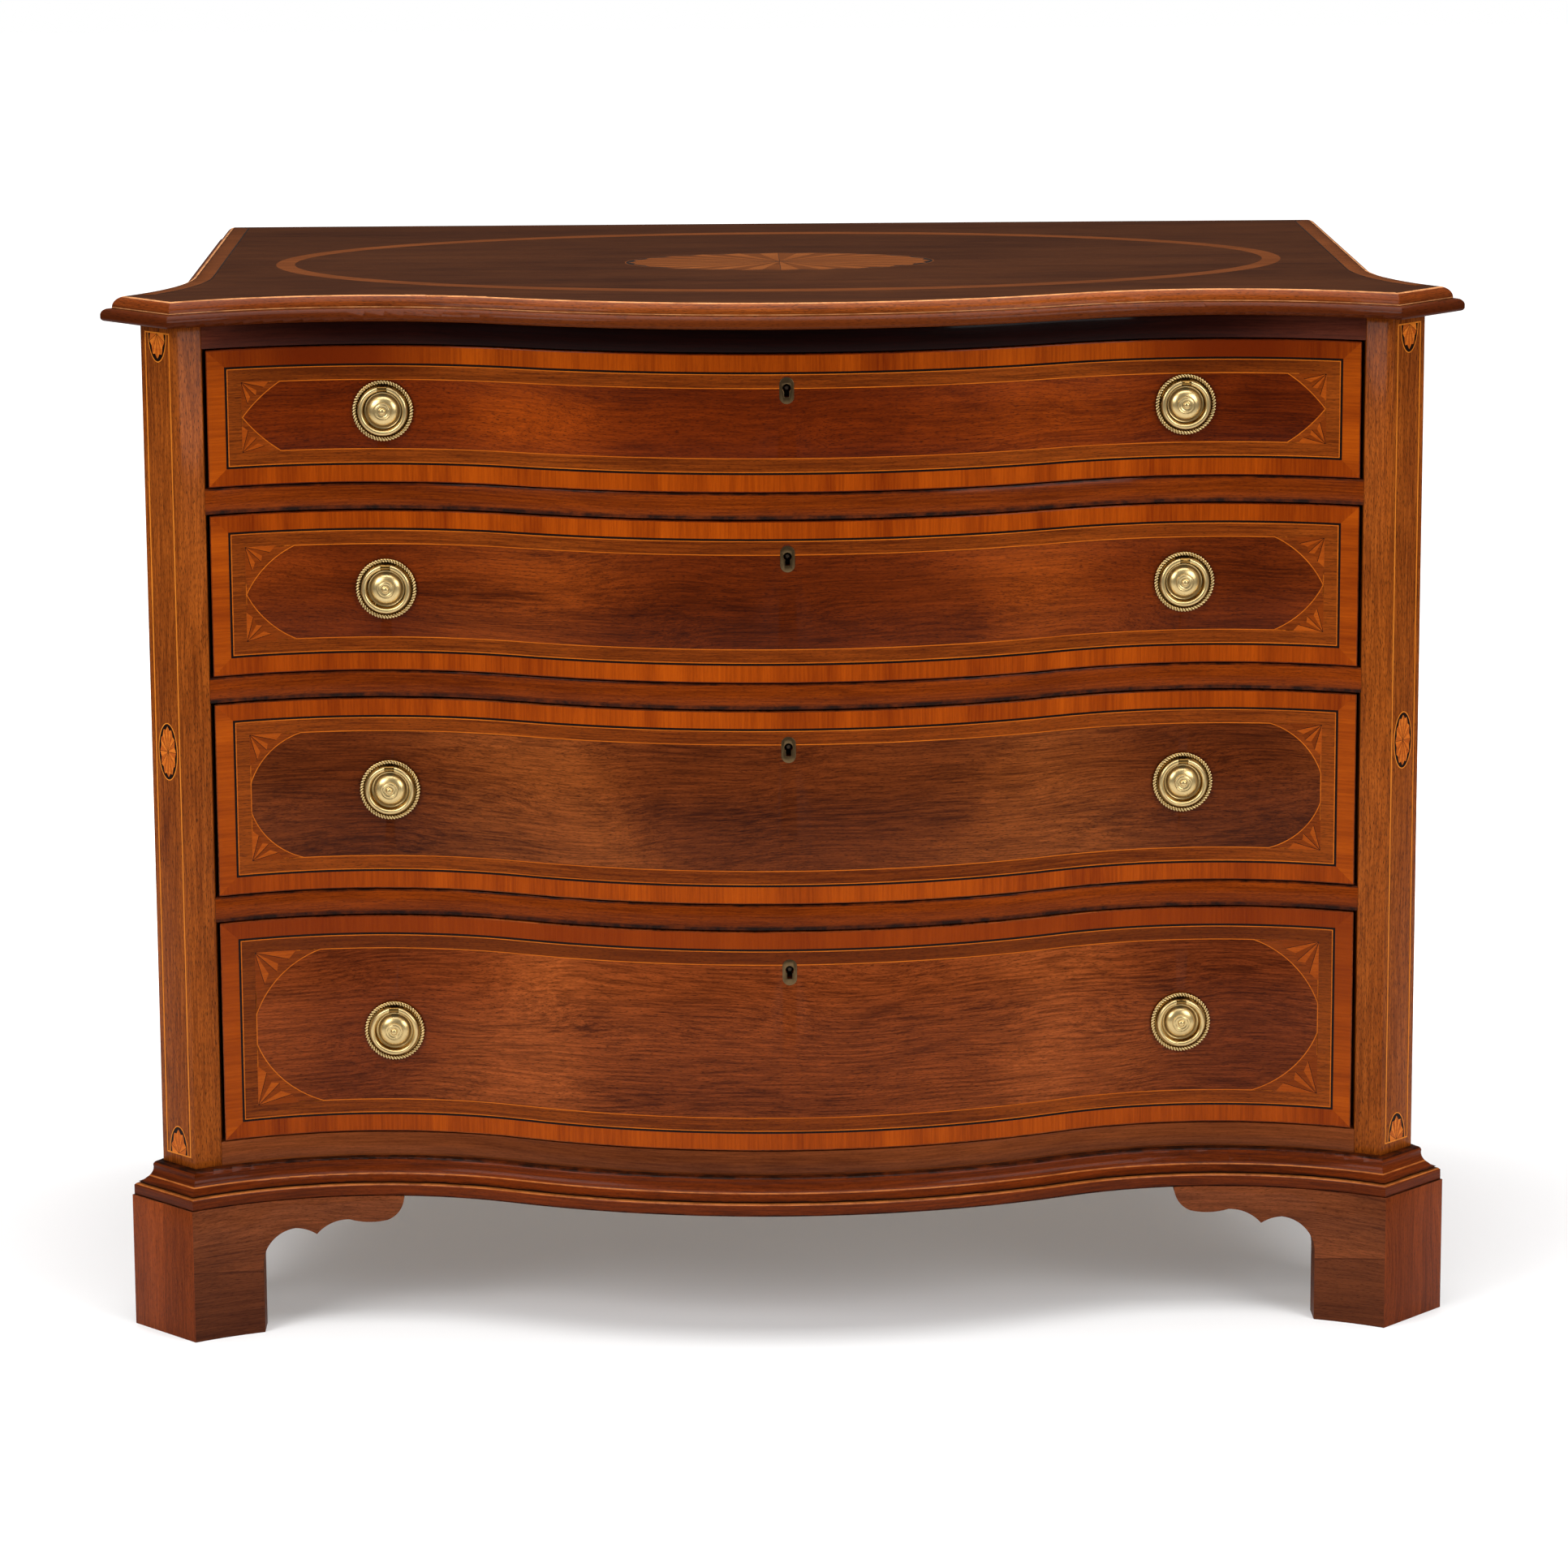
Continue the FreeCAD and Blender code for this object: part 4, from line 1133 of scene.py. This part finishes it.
    def oval(self, name: str, centre: Point, width: float, height: float, rings: Sequence[float],
             finishes: Sequence[Finish], facing: Point, filled: bool,
             keep: Sequence[Point] = (), steps: int = 64) -> Piece:
        """Oval rings, with or without a filled middle.

        Args:
            name: The piece's name.
            centre: The oval's centre.
            width: Half its width.
            height: Half its height.
            rings: Widths of the rings, from the outside in.
            finishes: The rings' finishes, and the middle's.
            facing: Turn of the oval about X, Y and Z.
            filled: Whether the middle stays.
            keep: Directions in which the oval is kept, where it isn't whole.
            steps: Corners round the oval.

        Returns:
            The oval, as a sheet.
        """
        bpy.ops.mesh.primitive_circle_add(vertices=steps, radius=1.0, fill_type="NGON",
                                          location=(0, 0, 0))
        obj = new_piece(name)
        dress(obj, *finishes)
        obj.scale = (width, height, 1)
        settle(obj)
        with shaping(obj):
            for index, ring in enumerate(rings):
                paint(obj, index)
                bpy.ops.mesh.inset(thickness=ring, use_even_offset=True)
            if filled:
                paint(obj, len(rings))
            else:
                bpy.ops.mesh.delete(type="FACE")
        return self.stand(obj, centre, facing, keep)


# The chest


@dataclass
class DrawerLook:
    """One drawer's front: figured panel, banding, lines, corner fans and fittings."""

    number: int
    pale: Colour
    dark: Colour
    seed: float
    arc_width: float
    arc_height: float
    arc_bulge: float
    fan_reach: float
    painted_light_middle: float
    front_bevel: float = 0.0004
    escutcheon_bevel: float = 0.0003
    figure: float = 0.55
    waviness: float = 0.07
    crossband: float = 0.0136
    black_line: float = 0.0019
    box_line: float = 0.0007
    band: float = 0.0105
    inner_line: float = 0.0007
    edge_gap: float = 0.0007
    plate_gap: float = 0.00005
    cutter_depth: float = 0.02
    arc_steps: int = 14
    arc_proud: float = 1.4
    spandrel_proud: float = 1.0
    spandrel_scales: tuple[float, ...] = (0.8, 0.75, 0.667, 0.5, 0.0)
    fan_corners: int = 24
    fan_reaches: tuple[float, ...] = (1.0, 0.84, 0.64, 0.74, 0.64, 0.84)
    fan_lines: tuple[int, ...] = (1, 3, 5)
    fan_line: float = 0.00022
    fan_proud: float = 1.8
    in_front: float = -0.4

    def __post_init__(self) -> None:
        """Names the drawer's body and takes its front's height and half width from the frame."""
        self.name = f"drawer_{self.number}"
        low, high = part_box(self.name + "_front")
        self.low, self.high, self.half = low.z, high.z, high.x

    def build(self) -> None:
        """Builds the front's copy, its inlay and its fittings."""
        # Painted light and shade across the drawer front: a painted sheen either side of the middle,
        # painted shade in the middle and towards the ends
        across = ((0.0, self.painted_light_middle), (0.08, self.painted_light_middle * 1.05), (0.14, 0.64),
                  (0.2, 1.0), (0.25, 0.9), (0.3, 0.57), (0.36, 0.43), (0.41, 0.47), (0.47, 0.62))
        veneer = Wood(self.name + "_veneer", self.pale, self.dark, seed=self.seed,
                      figure=self.figure, waviness=self.waviness, pores=0.6, across=across)
        front = polished_copy(self.name + "_front", self.name, "mahogany", self.front_bevel, veneer)
        self.lay_banding(front)
        self.lay_corners(front)
        for part in ("sides", "back", "bottom"):
            dress(NODES[f"{self.name}_{part}"], LINING)
        for part in ("lock_case", "lock_bolt"):
            dress(NODES[f"{self.name}_{part}"], LOCK_IRON)
        polished_copy(self.name + "_escutcheon", self.name, "brass", self.escutcheon_bevel, OLD_BRASS)
        PullLook(self.number).build()

    def lay_banding(self, front: Piece) -> None:
        """Lays the crossband, the lines and the band, parted round the keyhole plate.

        Args:
            front: The front's copy, which they are laid on.
        """
        inlay = Inlay()
        widths = (self.crossband, self.black_line, self.box_line, self.band, self.inner_line)
        finishes = (CROSSBAND, EBONY, BOXWOOD, BAND, BOXWOOD, CROSSBAND_SIDE)
        half = self.half - self.edge_gap
        bands = inlay.frame(self.name + "_banding", half, self.low + self.edge_gap,
                            self.high - self.edge_gap, widths, finishes, self.in_front)
        with shaping(bands):
            choose(bands, Pick.FACES, lambda at, normal: abs(at.x) > half - self.crossband)
            paint(bands, finishes.index(CROSSBAND_SIDE))
        inlay.lay_on_front(bands, front)
        cutter = self.plate_cutter()
        with_modifier(bands, "BOOLEAN", operation="DIFFERENCE", object=cutter, solver="EXACT")
        bpy.data.objects.remove(cutter)
        place(bands, self.name)

    def plate_cutter(self) -> Piece:
        """The outline of the keyhole plate as a solid that cuts the banding.

        Returns:
            A round bar, drawn out upwards and downwards to the plate's ends.
        """
        low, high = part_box(self.name + "_escutcheon")
        middle = (low.z + high.z) / 2
        rise = (high.z - low.z) / 2 - high.x
        bpy.ops.mesh.primitive_cylinder_add(vertices=48, radius=high.x + self.plate_gap,
                                            depth=self.cutter_depth,
                                            location=(0, low.y, middle), rotation=UPRIGHT)
        cutter = settle(new_piece("keyhole_plate_cutter"))
        for way in (1, -1):
            with shaping(cutter, Pick.VERTS):
                choose(cutter, Pick.VERTS, lambda at, normal: (at.z - middle) * way > HAIR)
                bpy.ops.transform.translate(value=(0, 0, rise * way))
        return cutter

    def lay_corners(self, front: Piece) -> None:
        """Lays the arcs that cut the panel's corners, with a fan in each.

        Args:
            front: The front's copy, which they are laid on.
        """
        inlay = Inlay()
        inset = self.edge_gap + self.crossband + self.black_line + self.box_line + self.band
        arcs, spandrels, fans = [], [], []
        chord = math.hypot(self.arc_width, self.arc_height)
        radius = chord * (1 / (8 * self.arc_bulge) + self.arc_bulge / 2)
        sink = radius - chord * self.arc_bulge
        line_scale = (radius - self.inner_line) / radius
        for side in SIDES:
            for rise in (1, -1):
                corner = Vector((side * (self.half - inset), self.in_front,
                                 self.high - inset if rise > 0 else self.low + inset))
                flat_end = corner - Vector((side * self.arc_width, 0, 0))
                tall_end = corner - Vector((0, 0, rise * self.arc_height))
                inward = Vector((-side * self.arc_height, 0, -rise * self.arc_width)).normalized()
                centre = (flat_end + tall_end) / 2 + inward * sink
                turn = (flat_end - centre).cross(tall_end - centre).y
                angle = -math.copysign((flat_end - centre).angle(tall_end - centre), turn)
                line = inlay.arc("corner_arc", flat_end, centre, angle, self.arc_steps)
                arcs.append(inlay.grow(line, centre, (line_scale,)))
                line = inlay.arc("corner_spandrel", flat_end, centre, angle, self.arc_steps)
                spandrels.append(inlay.grow(line, corner, self.spandrel_scales))
                fans.append(inlay.fan("corner_fan", corner, self.fan_reach, self.fan_reach,
                                      self.fan_corners, self.fan_reaches, self.fan_lines,
                                      self.fan_line, (FAN, FAN_DARK, EBONY), UPRIGHT,
                                      ((-side, 0, 0), (0, -rise, 0))))
        for name, parts, finishes, proud in (
                ("arcs", arcs, (BOXWOOD,), self.arc_proud),
                ("spandrels", spandrels, (SPANDREL,), self.spandrel_proud),
                ("fans", fans, (), self.fan_proud)):
            piece = joined(f"{self.name}_{name}", parts)
            if finishes:
                dress(piece, *finishes)
            inlay.lay_on_front(piece, front, proud)
            place(piece, self.name)


@dataclass
class PullLook:
    """The two ring pulls of a drawer, with the roped rims and the domes of their plates."""

    number: int
    strands: int = 60
    rim_radius: float = 0.02365
    rim_lift: float = 0.0030
    strand_long: float = 0.0021
    strand_wide: float = 0.00082
    strand_high: float = 0.00055
    strand_sunk: float = 0.0003
    slant_deg: float = 38.0
    pin_out: float = 0.0046
    pin_up: float = 0.0184
    turned_steps: int = 48
    turned_merge: float = 0.000005
    plate_smooth_deg: float = 28.0
    ring_smooth_deg: float = 40.0
    dome_smooth_deg: float = 50.0
    dome_profile_mm: tuple[tuple[float, float], ...] = (
        (0.0, 9.5), (0.9, 9.42), (1.6, 9.22), (2.2, 8.88), (2.6, 8.4), (2.8, 7.9), (2.85, 7.6),
        (3.1, 7.47), (4.2, 7.46), (4.6, 7.56), (5.0, 7.82), (5.4, 7.84), (5.8, 7.6), (6.1, 7.46),
        (6.4, 7.47), (6.8, 7.72), (7.2, 7.7), (7.4, 7.4), (7.45, 6.36), (8.5, 6.08), (9.7, 5.62),
        (10.8, 5.0), (11.5, 4.48), (12.15, 3.9), (12.75, 3.26), (13.35, 2.5), (14.15, 1.1),
        (14.6, 1.35), (15.0, 1.4), (15.3, 1.1), (15.4, 0.6))

    def build(self) -> None:
        """Builds the plates with their rims and domes, and the rings."""
        name = f"drawer_{self.number}"
        polished_copy(name + "_pull_plates", name, "brass", 0.0, PLATE_BRASS,
                      smooth_deg=self.plate_smooth_deg, simpler=False)
        for side in SIDES:
            polished_copy(f"{name}_ring_{hand(side)}", f"ring_{hand(side)}_{self.number}", "brass",
                          0.0, BRASS, smooth_deg=self.ring_smooth_deg, simpler=False)
        fittings = [self.rim(side) for side in SIDES] + [self.dome(side) for side in SIDES]
        piece = joined(name + "_rims_and_domes", fittings)
        dress(piece, BRASS)
        place(piece, name)

    def middle(self, side: int) -> tuple[Vector, Vector]:
        """The middle of a plate's back and the way that the plate faces.

        Args:
            side: 1 for the right plate and -1 for the left.

        Returns:
            The point and the unit vector.
        """
        ring = f"ring_{hand(side)}_{self.number}"
        joint = next(joint for joint in frame["joints"] if joint["child"] == ring)
        along = Vector(joint["axis"])
        out = Vector((-along.y, along.x, 0)).normalized()
        if out.y > 0:
            out.negate()
        return Vector(joint["pos_m"]) - out * self.pin_out - Vector((0, 0, self.pin_up)), out

    def rim(self, side: int) -> Piece:
        """The slanting strands round the rim of one plate.

        Args:
            side: 1 for the right plate and -1 for the left.

        Returns:
            The strands as one object.
        """
        bpy.ops.mesh.primitive_uv_sphere_add(segments=8, ring_count=6, radius=1.0)
        strand = new_piece("strand")
        strand.scale = (self.strand_long, self.strand_wide, self.strand_high)
        settle(strand)
        strand.rotation_euler = (0, 0, math.radians(self.slant_deg))
        strand.location = (self.rim_radius, 0, self.rim_lift - self.strand_sunk)
        settle(strand)
        copies = [strand]
        for index in range(1, self.strands):
            copies.append(copy_of(strand, "strand"))
            copies[-1].matrix_world = Matrix.Rotation(2 * math.pi * index / self.strands, 4, "Z")
        rim = settle(joined("rim", copies))
        take(rim)
        bpy.ops.object.shade_smooth()
        return self.on_plate(rim, side)

    def dome(self, side: int) -> Piece:
        """The dome of one plate, turned with its beads and its knob.

        Args:
            side: 1 for the right plate and -1 for the left.

        Returns:
            The dome.
        """
        points = [Vector((out / 1000, 0, lift / 1000)) for out, lift in self.dome_profile_mm]
        dome = point("dome", points[0])
        with shaping(dome, Pick.VERTS):
            for before, after in zip(points, points[1:]):
                bpy.ops.mesh.extrude_vertices_move(TRANSFORM_OT_translate={"value": after - before})
            bpy.ops.mesh.select_all(action="SELECT")
            bpy.ops.mesh.spin(steps=self.turned_steps, angle=2 * math.pi, center=(0, 0, 0),
                              axis=(0, 0, 1))
            bpy.ops.mesh.select_all(action="SELECT")
            bpy.ops.mesh.remove_doubles(threshold=self.turned_merge)
            bpy.ops.mesh.fill_holes(sides=0)
        smooth(point_outwards(dome), self.dome_smooth_deg)
        return self.on_plate(dome, side)

    def on_plate(self, obj: Piece, side: int) -> Piece:
        """Turns and moves a piece modelled round Z on to one of the plates.

        Args:
            obj: The piece.
            side: 1 for the right plate and -1 for the left.

        Returns:
            The same piece.
        """
        back, out = self.middle(side)
        turn = out.to_track_quat("Z", "Y").to_matrix().to_4x4()
        obj.matrix_world = Matrix.Translation(back) @ turn
        return settle(obj)


@dataclass(frozen=True)
class Medallion:
    """The sizes of an oval of petals in a light ring and a dark line."""

    half: tuple[float, float]
    margin: tuple[float, float]
    rings: tuple[float, float]
    ring: Wood
    petals: tuple[Wood, Wood]
    corners: int
    reaches: tuple[float, float]
    line: float
    steps: int
    ground_proud: float
    petal_proud: float

    def build(self, centre: Point, facing: Point, keep: Sequence[Point] = ()) -> list[Piece]:
        """Builds the oval ground and the petals on it.

        Args:
            centre: Where the petals meet.
            facing: Turn about X, Y and Z.
            keep: Directions in which it is kept, where it isn't whole.

        Returns:
            The ground and the petals.
        """
        inlay = Inlay()
        wide, tall = self.half
        ground = inlay.oval("medallion_ground", centre, wide, tall, self.rings,
                            (self.ring, EBONY, EBONY), facing, True, keep, self.steps)
        inlay.thicken(ground, self.ground_proud)
        petals = inlay.fan("medallion_petals", centre, wide - self.margin[0], tall - self.margin[1],
                           self.corners, self.reaches, (0,), self.line, (*self.petals, EBONY),
                           facing, keep)
        return [ground, inlay.thicken(petals, self.petal_proud)]


@dataclass
class PostLook:
    """One corner post: its veneers, string panel, patera and the half ovals at its ends."""

    side: int
    cant_middle: Point = (0.513, -0.22325, 0.0)
    bevel: float = 0.0006
    panel_half: float = 0.0155
    panel_low: float = CASE_LOW + 0.0365
    panel_high: float = CASE_HIGH - 0.008
    line: float = 0.0011
    patera_height: float = 0.4955
    patera: Medallion = Medallion(
        half=(0.0122, 0.0243), margin=(0.0021, 0.0026), rings=(0.0008, 0.0003), ring=BOXWOOD_UP,
        petals=(PETAL, PETAL_DARK), corners=24, reaches=(1.0, 0.86), line=0.00016, steps=64,
        ground_proud=1.3, petal_proud=2.0)
    lunette: Medallion = replace(patera, half=(0.0118, 0.0238), margin=(0.0018, 0.0028),
                                 corners=20, reaches=(1.0, 0.84))

    def build(self) -> None:
        """Builds the post's copy and its inlay."""
        name = hand(self.side)
        polished_copy("corner_post_" + name, "case", "mahogany", self.bevel, POST)
        inlay = Inlay()
        panel = inlay.frame("post_string", self.panel_half, self.panel_low, self.panel_high,
                            (self.line,), (BOXWOOD_UP,), 0.0)
        pieces = [inlay.thicken(panel)]
        pieces += self.patera.build((0, 0, self.patera_height), UPRIGHT)
        for height, way in ((self.panel_high - self.line, -1), (self.panel_low + self.line, 1)):
            pieces += self.lunette.build((0, 0, height), UPRIGHT, ((0, way, 0),))
        piece = joined("post_inlay_" + name, pieces)
        piece.rotation_euler = (0, 0, self.side * math.pi / 4)
        piece.location = (self.side * self.cant_middle[0], *self.cant_middle[1:])
        settle(piece)
        place(piece, "case")


@dataclass
class TopLook:
    """The top: its board, the crossband along its sides, the oval band and the patera."""

    bevel: float = 0.0008
    level_from: float = 0.99
    level_within: float = 0.0005
    sheet_level_from: float = 0.999
    sheet_level_within: float = 0.0002
    ring_middle: float = 0.0085
    ring_half: tuple[float, float] = (0.432, 0.2215)
    ring_width: float = 0.016
    ring_steps: int = 160
    patera_middle: float = 0.0
    patera: Medallion = Medallion(
        half=(0.133, 0.066), margin=(0.003, 0.002), rings=(0.0011, 0.0003), ring=TOP_RING,
        petals=(TOP_PETAL, TOP_PETAL_DARK), corners=48, reaches=(1.0, 0.955), line=0.0002, steps=96,
        ground_proud=0.3, petal_proud=0.6)
    side_band: float = 0.0122
    side_line: float = 0.0011
    side_band_out: float = 0.45
    proud: float = 0.3

    def build(self) -> None:
        """Builds the board's copy and its inlay."""
        board = polished_copy("top_board", "case", "mahogany", self.bevel, TOP_EDGE, TOP, TOP_END,
                              faces=self.face)
        inlay = Inlay()
        ring = inlay.oval("top_oval_band", (0, self.ring_middle, TOP_HIGH), *self.ring_half,
                          (self.ring_width,), (TOP_RING,), FLAT, False, steps=self.ring_steps)
        place(inlay.thicken(ring, self.proud), "case")
        pieces = self.patera.build((0, self.patera_middle, TOP_HIGH), FLAT)
        place(joined("top_patera", pieces), "case")
        self.lay_side_bands(board, inlay)

    def face(self, centre: Vector, normal: Vector) -> int:
        """Which finish a face takes: 1 on the flat top, 2 along the sides, 0 elsewhere.

        Args:
            centre: The face's centre.
            normal: The way that it faces.

        Returns:
            The number of the finish.
        """
        level = normal.z > self.level_from
        if level and centre.z > TOP_HIGH - self.level_within:
            return 1
        return 2 if on_the_side(centre) and not level else 0

    def lay_side_bands(self, board: Piece, inlay: Inlay) -> None:
        """Lays the crossband and its dark line inside the swept sides of the top.

        Args:
            board: The board's copy, whose flat face gives the outline.
            inlay: What gives the bands their thickness.
        """
        sheet = copy_of(board, "top_side_bands")
        with shaping(sheet):
            choose(sheet, Pick.FACES, lambda centre, normal: normal.z <= self.sheet_level_from
                   or centre.z <= TOP_HIGH - self.sheet_level_within)
            bpy.ops.mesh.delete(type="FACE")
            bpy.ops.mesh.select_all(action="SELECT")
            bpy.ops.mesh.dissolve_limited(angle_limit=math.radians(1))
        dress(sheet, TOP_RING, EBONY)
        corners = [vertex.co for vertex in sheet.data.vertices]
        back = max(at.y for at in corners) - self.side_band
        front = max(corners, key=lambda at: at.x).y + self.side_band / 2
        with shaping(sheet):
            bpy.ops.mesh.inset(thickness=self.side_band, use_even_offset=True)
            paint(sheet, 1)
            bpy.ops.mesh.inset(thickness=self.side_line, use_even_offset=True)
            bpy.ops.mesh.delete(type="FACE")
            choose(sheet, Pick.FACES, lambda centre, normal: abs(centre.x) < self.side_band_out
                   or not front <= centre.y <= back)
            bpy.ops.mesh.delete(type="FACE")
        place(inlay.thicken(sheet, self.proud), "case")


@dataclass
class CaseLook:
    """The rest of the case: rails, sides, base moulding, feet and the hidden wood."""

    rail_bevel: float = 0.0006
    side_bevel: float = 0.0005
    foot_bevel: float = 0.0016
    moulding_bevel: float = 0.0004
    slant_within: float = 0.05
    front_from: float = 0.6
    tilt_within: float = 0.1
    side_from: float = 0.75
    hidden: tuple[str, ...] = ("runners", "dust_boards", "drawer_stops", "glue_blocks")

    def build(self) -> None:
        """Builds the copies of the visible nodes and dresses the hidden ones."""
        for node in RAILS:
            polished_copy(node, "case", "mahogany", self.rail_bevel, RAIL)
        polished_copy("top_rail", "case", "mahogany", self.rail_bevel, FRIEZE)
        polished_copy("bottom_rail", "case", "mahogany", self.rail_bevel, LOW_RAIL)
        for side in map(hand, SIDES):
            polished_copy("side_panel_" + side, "case", "mahogany", self.side_bevel, SIDE)
            polished_copy("foot_front_" + side, "case", "mahogany", self.foot_bevel, FOOT, FOOT_SIDE,
                          FOOT_CANT, faces=self.foot_face)
            polished_copy("foot_back_" + side, "case", "mahogany", 0.0, FOOT, FOOT_SIDE,
                          faces=self.foot_face)
        polished_copy("back_boards", "case", "carcase_pine", 0.0, BACKBOARD)
        polished_copy("base_moulding", "case", "mahogany", self.moulding_bevel, BASE, BASE_END,
                      faces=self.moulding_face)
        for node in self.hidden:
            dress(NODES[node], PINE)

    def foot_face(self, centre: Vector, normal: Vector) -> int:
        """Which finish a face of a foot takes: 2 on its cant, 1 on its side, 0 elsewhere.

        Args:
            centre: The face's centre.
            normal: The way that it faces.

        Returns:
            The number of the finish.
        """
        slanting = abs(abs(normal.x) * math.sqrt(2) - 1) < self.slant_within
        if slanting and -normal.y > self.front_from and abs(normal.z) < self.tilt_within:
            return 2
        return 1 if abs(normal.x) > self.side_from else 0

    def moulding_face(self, centre: Vector, normal: Vector) -> int:
        """Which finish a face of the base moulding takes: 1 along the sides."""
        return 1 if on_the_side(centre) else 0


# Stage


@dataclass(frozen=True)
class Lamp:
    """A soft square lamp that points at a place."""

    name: str
    at: Point
    aim: Point
    size: float
    watts: float

    def build(self) -> None:
        """Hangs the lamp and turns it to its aim."""
        bpy.ops.object.light_add(type="AREA", location=self.at)
        lamp = bpy.context.view_layer.objects.active
        lamp.name = self.name
        lamp.rotation_euler = (Vector(self.aim) - Vector(self.at)).to_track_quat("-Z", "Y").to_euler()
        lamp.data.size = self.size
        lamp.data.energy = self.watts


@dataclass
class Studio:
    """Floor, world, lamps and camera."""

    floor_size: float = 30.0
    floor_tone: Colour = (0.8, 0.8, 0.8)
    floor_mirrored: tuple[float, ...] = (1.2, 3.4, 0.7, 0.07)
    floor_glow: tuple[float, ...] = (0.75, 1.7, 0.16, 1.0)
    world_light: float = 0.3
    world_mirrored: float = 0.12
    lamps: tuple[Lamp, ...] = (
        Lamp("key", at=(-2.4, -2.4, 2.2), aim=(0, 0, 0.45), size=1.6, watts=57.0),
        Lamp("fill", at=(2.4, -2.6, 1.9), aim=(0, 0, 0.45), size=1.6, watts=50.0),
        Lamp("overhead", at=(0.0, -0.1, 2.9), aim=(0, 0, 0), size=3.0, watts=120.0))
    camera_at: Point = (-0.086, -4.510, 1.395)
    yaw_deg: float = 1.46
    pitch_deg: float = 10.56
    roll_deg: float = 0.25
    lens: float = 121.0
    sensor: float = 36.0
    sees_to: float = 100.0
    shift: tuple[float, float] = (-0.0196, -0.10)

    def build(self) -> None:
        """Builds the whole stage."""
        self.floor()
        self.world()
        for lamp in self.lamps:
            lamp.build()
        self.camera()

    def floor(self) -> None:
        """A plain pale floor that shows as white and keeps the chest's shadow."""
        bpy.ops.mesh.primitive_plane_add(size=self.floor_size, location=(0, 0, 0))
        floor = new_piece("floor")
        white = bpy.data.materials.new("floor_white")
        white.use_nodes = True
        wire = Wiring(white.node_tree)
        path = wire.node("ShaderNodeLightPath").outputs
        spot = wire.node("ShaderNodeTexCoord").outputs["Object"]
        away = wire.node("ShaderNodeVectorMath", {0: spot}, operation="LENGTH").outputs["Value"]
        mirrored = wire.remap(away, *self.floor_mirrored)
        tone = wire.mix(path["Is Glossy Ray"], self.floor_tone, mirrored)
        plain = wire.node("ShaderNodeBsdfDiffuse", {"Color": tone})
        glow = wire.times(path["Is Camera Ray"], wire.remap(away, *self.floor_glow))
        lit = wire.node("ShaderNodeEmission", {"Color": WHITE, "Strength": glow})
        both = wire.node("ShaderNodeAddShader", {0: plain.outputs[0], 1: lit.outputs[0]})
        wire.node("ShaderNodeOutputMaterial", {"Surface": both.outputs[0]})
        floor.data.materials.append(white)

    def world(self) -> None:
        """White where the camera or glass sees it, and a soft grey light elsewhere."""
        world = bpy.data.worlds.new("studio")
        world.use_nodes = True
        bpy.context.scene.world = world
        wire = Wiring(world.node_tree)
        path = wire.node("ShaderNodeLightPath").outputs
        seen = wire.calc("MAXIMUM", path["Is Camera Ray"], path["Is Transmission Ray"])
        plain = wire.remap(path["Is Glossy Ray"], 0.0, 1.0, self.world_light, self.world_mirrored)
        strength = wire.calc("MAXIMUM", seen, plain)
        back = wire.node("ShaderNodeBackground", {"Color": WHITE, "Strength": strength})
        wire.node("ShaderNodeOutputWorld", {"Surface": back.outputs[0]})

    def camera(self) -> None:
        """The camera at the photograph's viewing angle, pitched a little down at the chest."""
        bpy.ops.object.camera_add(location=self.camera_at)
        camera = bpy.context.view_layer.objects.active
        camera.name = "camera"
        turn = (Matrix.Rotation(-math.radians(self.yaw_deg), 4, "Z")
                @ Matrix.Rotation(math.radians(90 - self.pitch_deg), 4, "X")
                @ Matrix.Rotation(-math.radians(self.roll_deg), 4, "Z"))
        camera.rotation_euler = turn.to_euler()
        camera.data.lens = self.lens
        camera.data.sensor_width = self.sensor
        camera.data.shift_x, camera.data.shift_y = self.shift
        camera.data.clip_end = self.sees_to
        bpy.context.scene.camera = camera


def main() -> None:
    """Builds the chest and its stage."""
    logging.basicConfig(level=logging.INFO, format="%(name)s: %(message)s")
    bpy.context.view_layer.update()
    CaseLook().build()
    TopLook().build()
    for side in SIDES:
        PostLook(side).build()
    drawers = (
        DrawerLook(1, pale=tint(158, 66, 9), dark=tint(71, 19, 2), seed=21.0, arc_width=0.031,
                   arc_height=0.0294, arc_bulge=0.045, fan_reach=0.0222, painted_light_middle=0.44),
        DrawerLook(2, pale=tint(159, 71, 17), dark=tint(67, 22, 3), seed=23.5, arc_width=0.040,
                   arc_height=0.0398, arc_bulge=0.09, fan_reach=0.0245, painted_light_middle=0.44),
        DrawerLook(3, pale=tint(150, 77, 30), dark=tint(68, 27, 8), seed=27.0, arc_width=0.042,
                   arc_height=0.041, arc_bulge=0.125, fan_reach=0.0262, painted_light_middle=0.5,
                   figure=0.35),
        DrawerLook(4, pale=tint(173, 87, 36), dark=tint(78, 31, 9), seed=31.0, arc_width=0.054,
                   arc_height=0.053, arc_bulge=0.115, fan_reach=0.034, painted_light_middle=0.6,
                   figure=0.35),
    )
    for drawer in drawers:
        drawer.build()
    Studio().build()
    bpy.context.scene.view_settings.view_transform = "Standard"


if __name__ == "__main__":
    main()
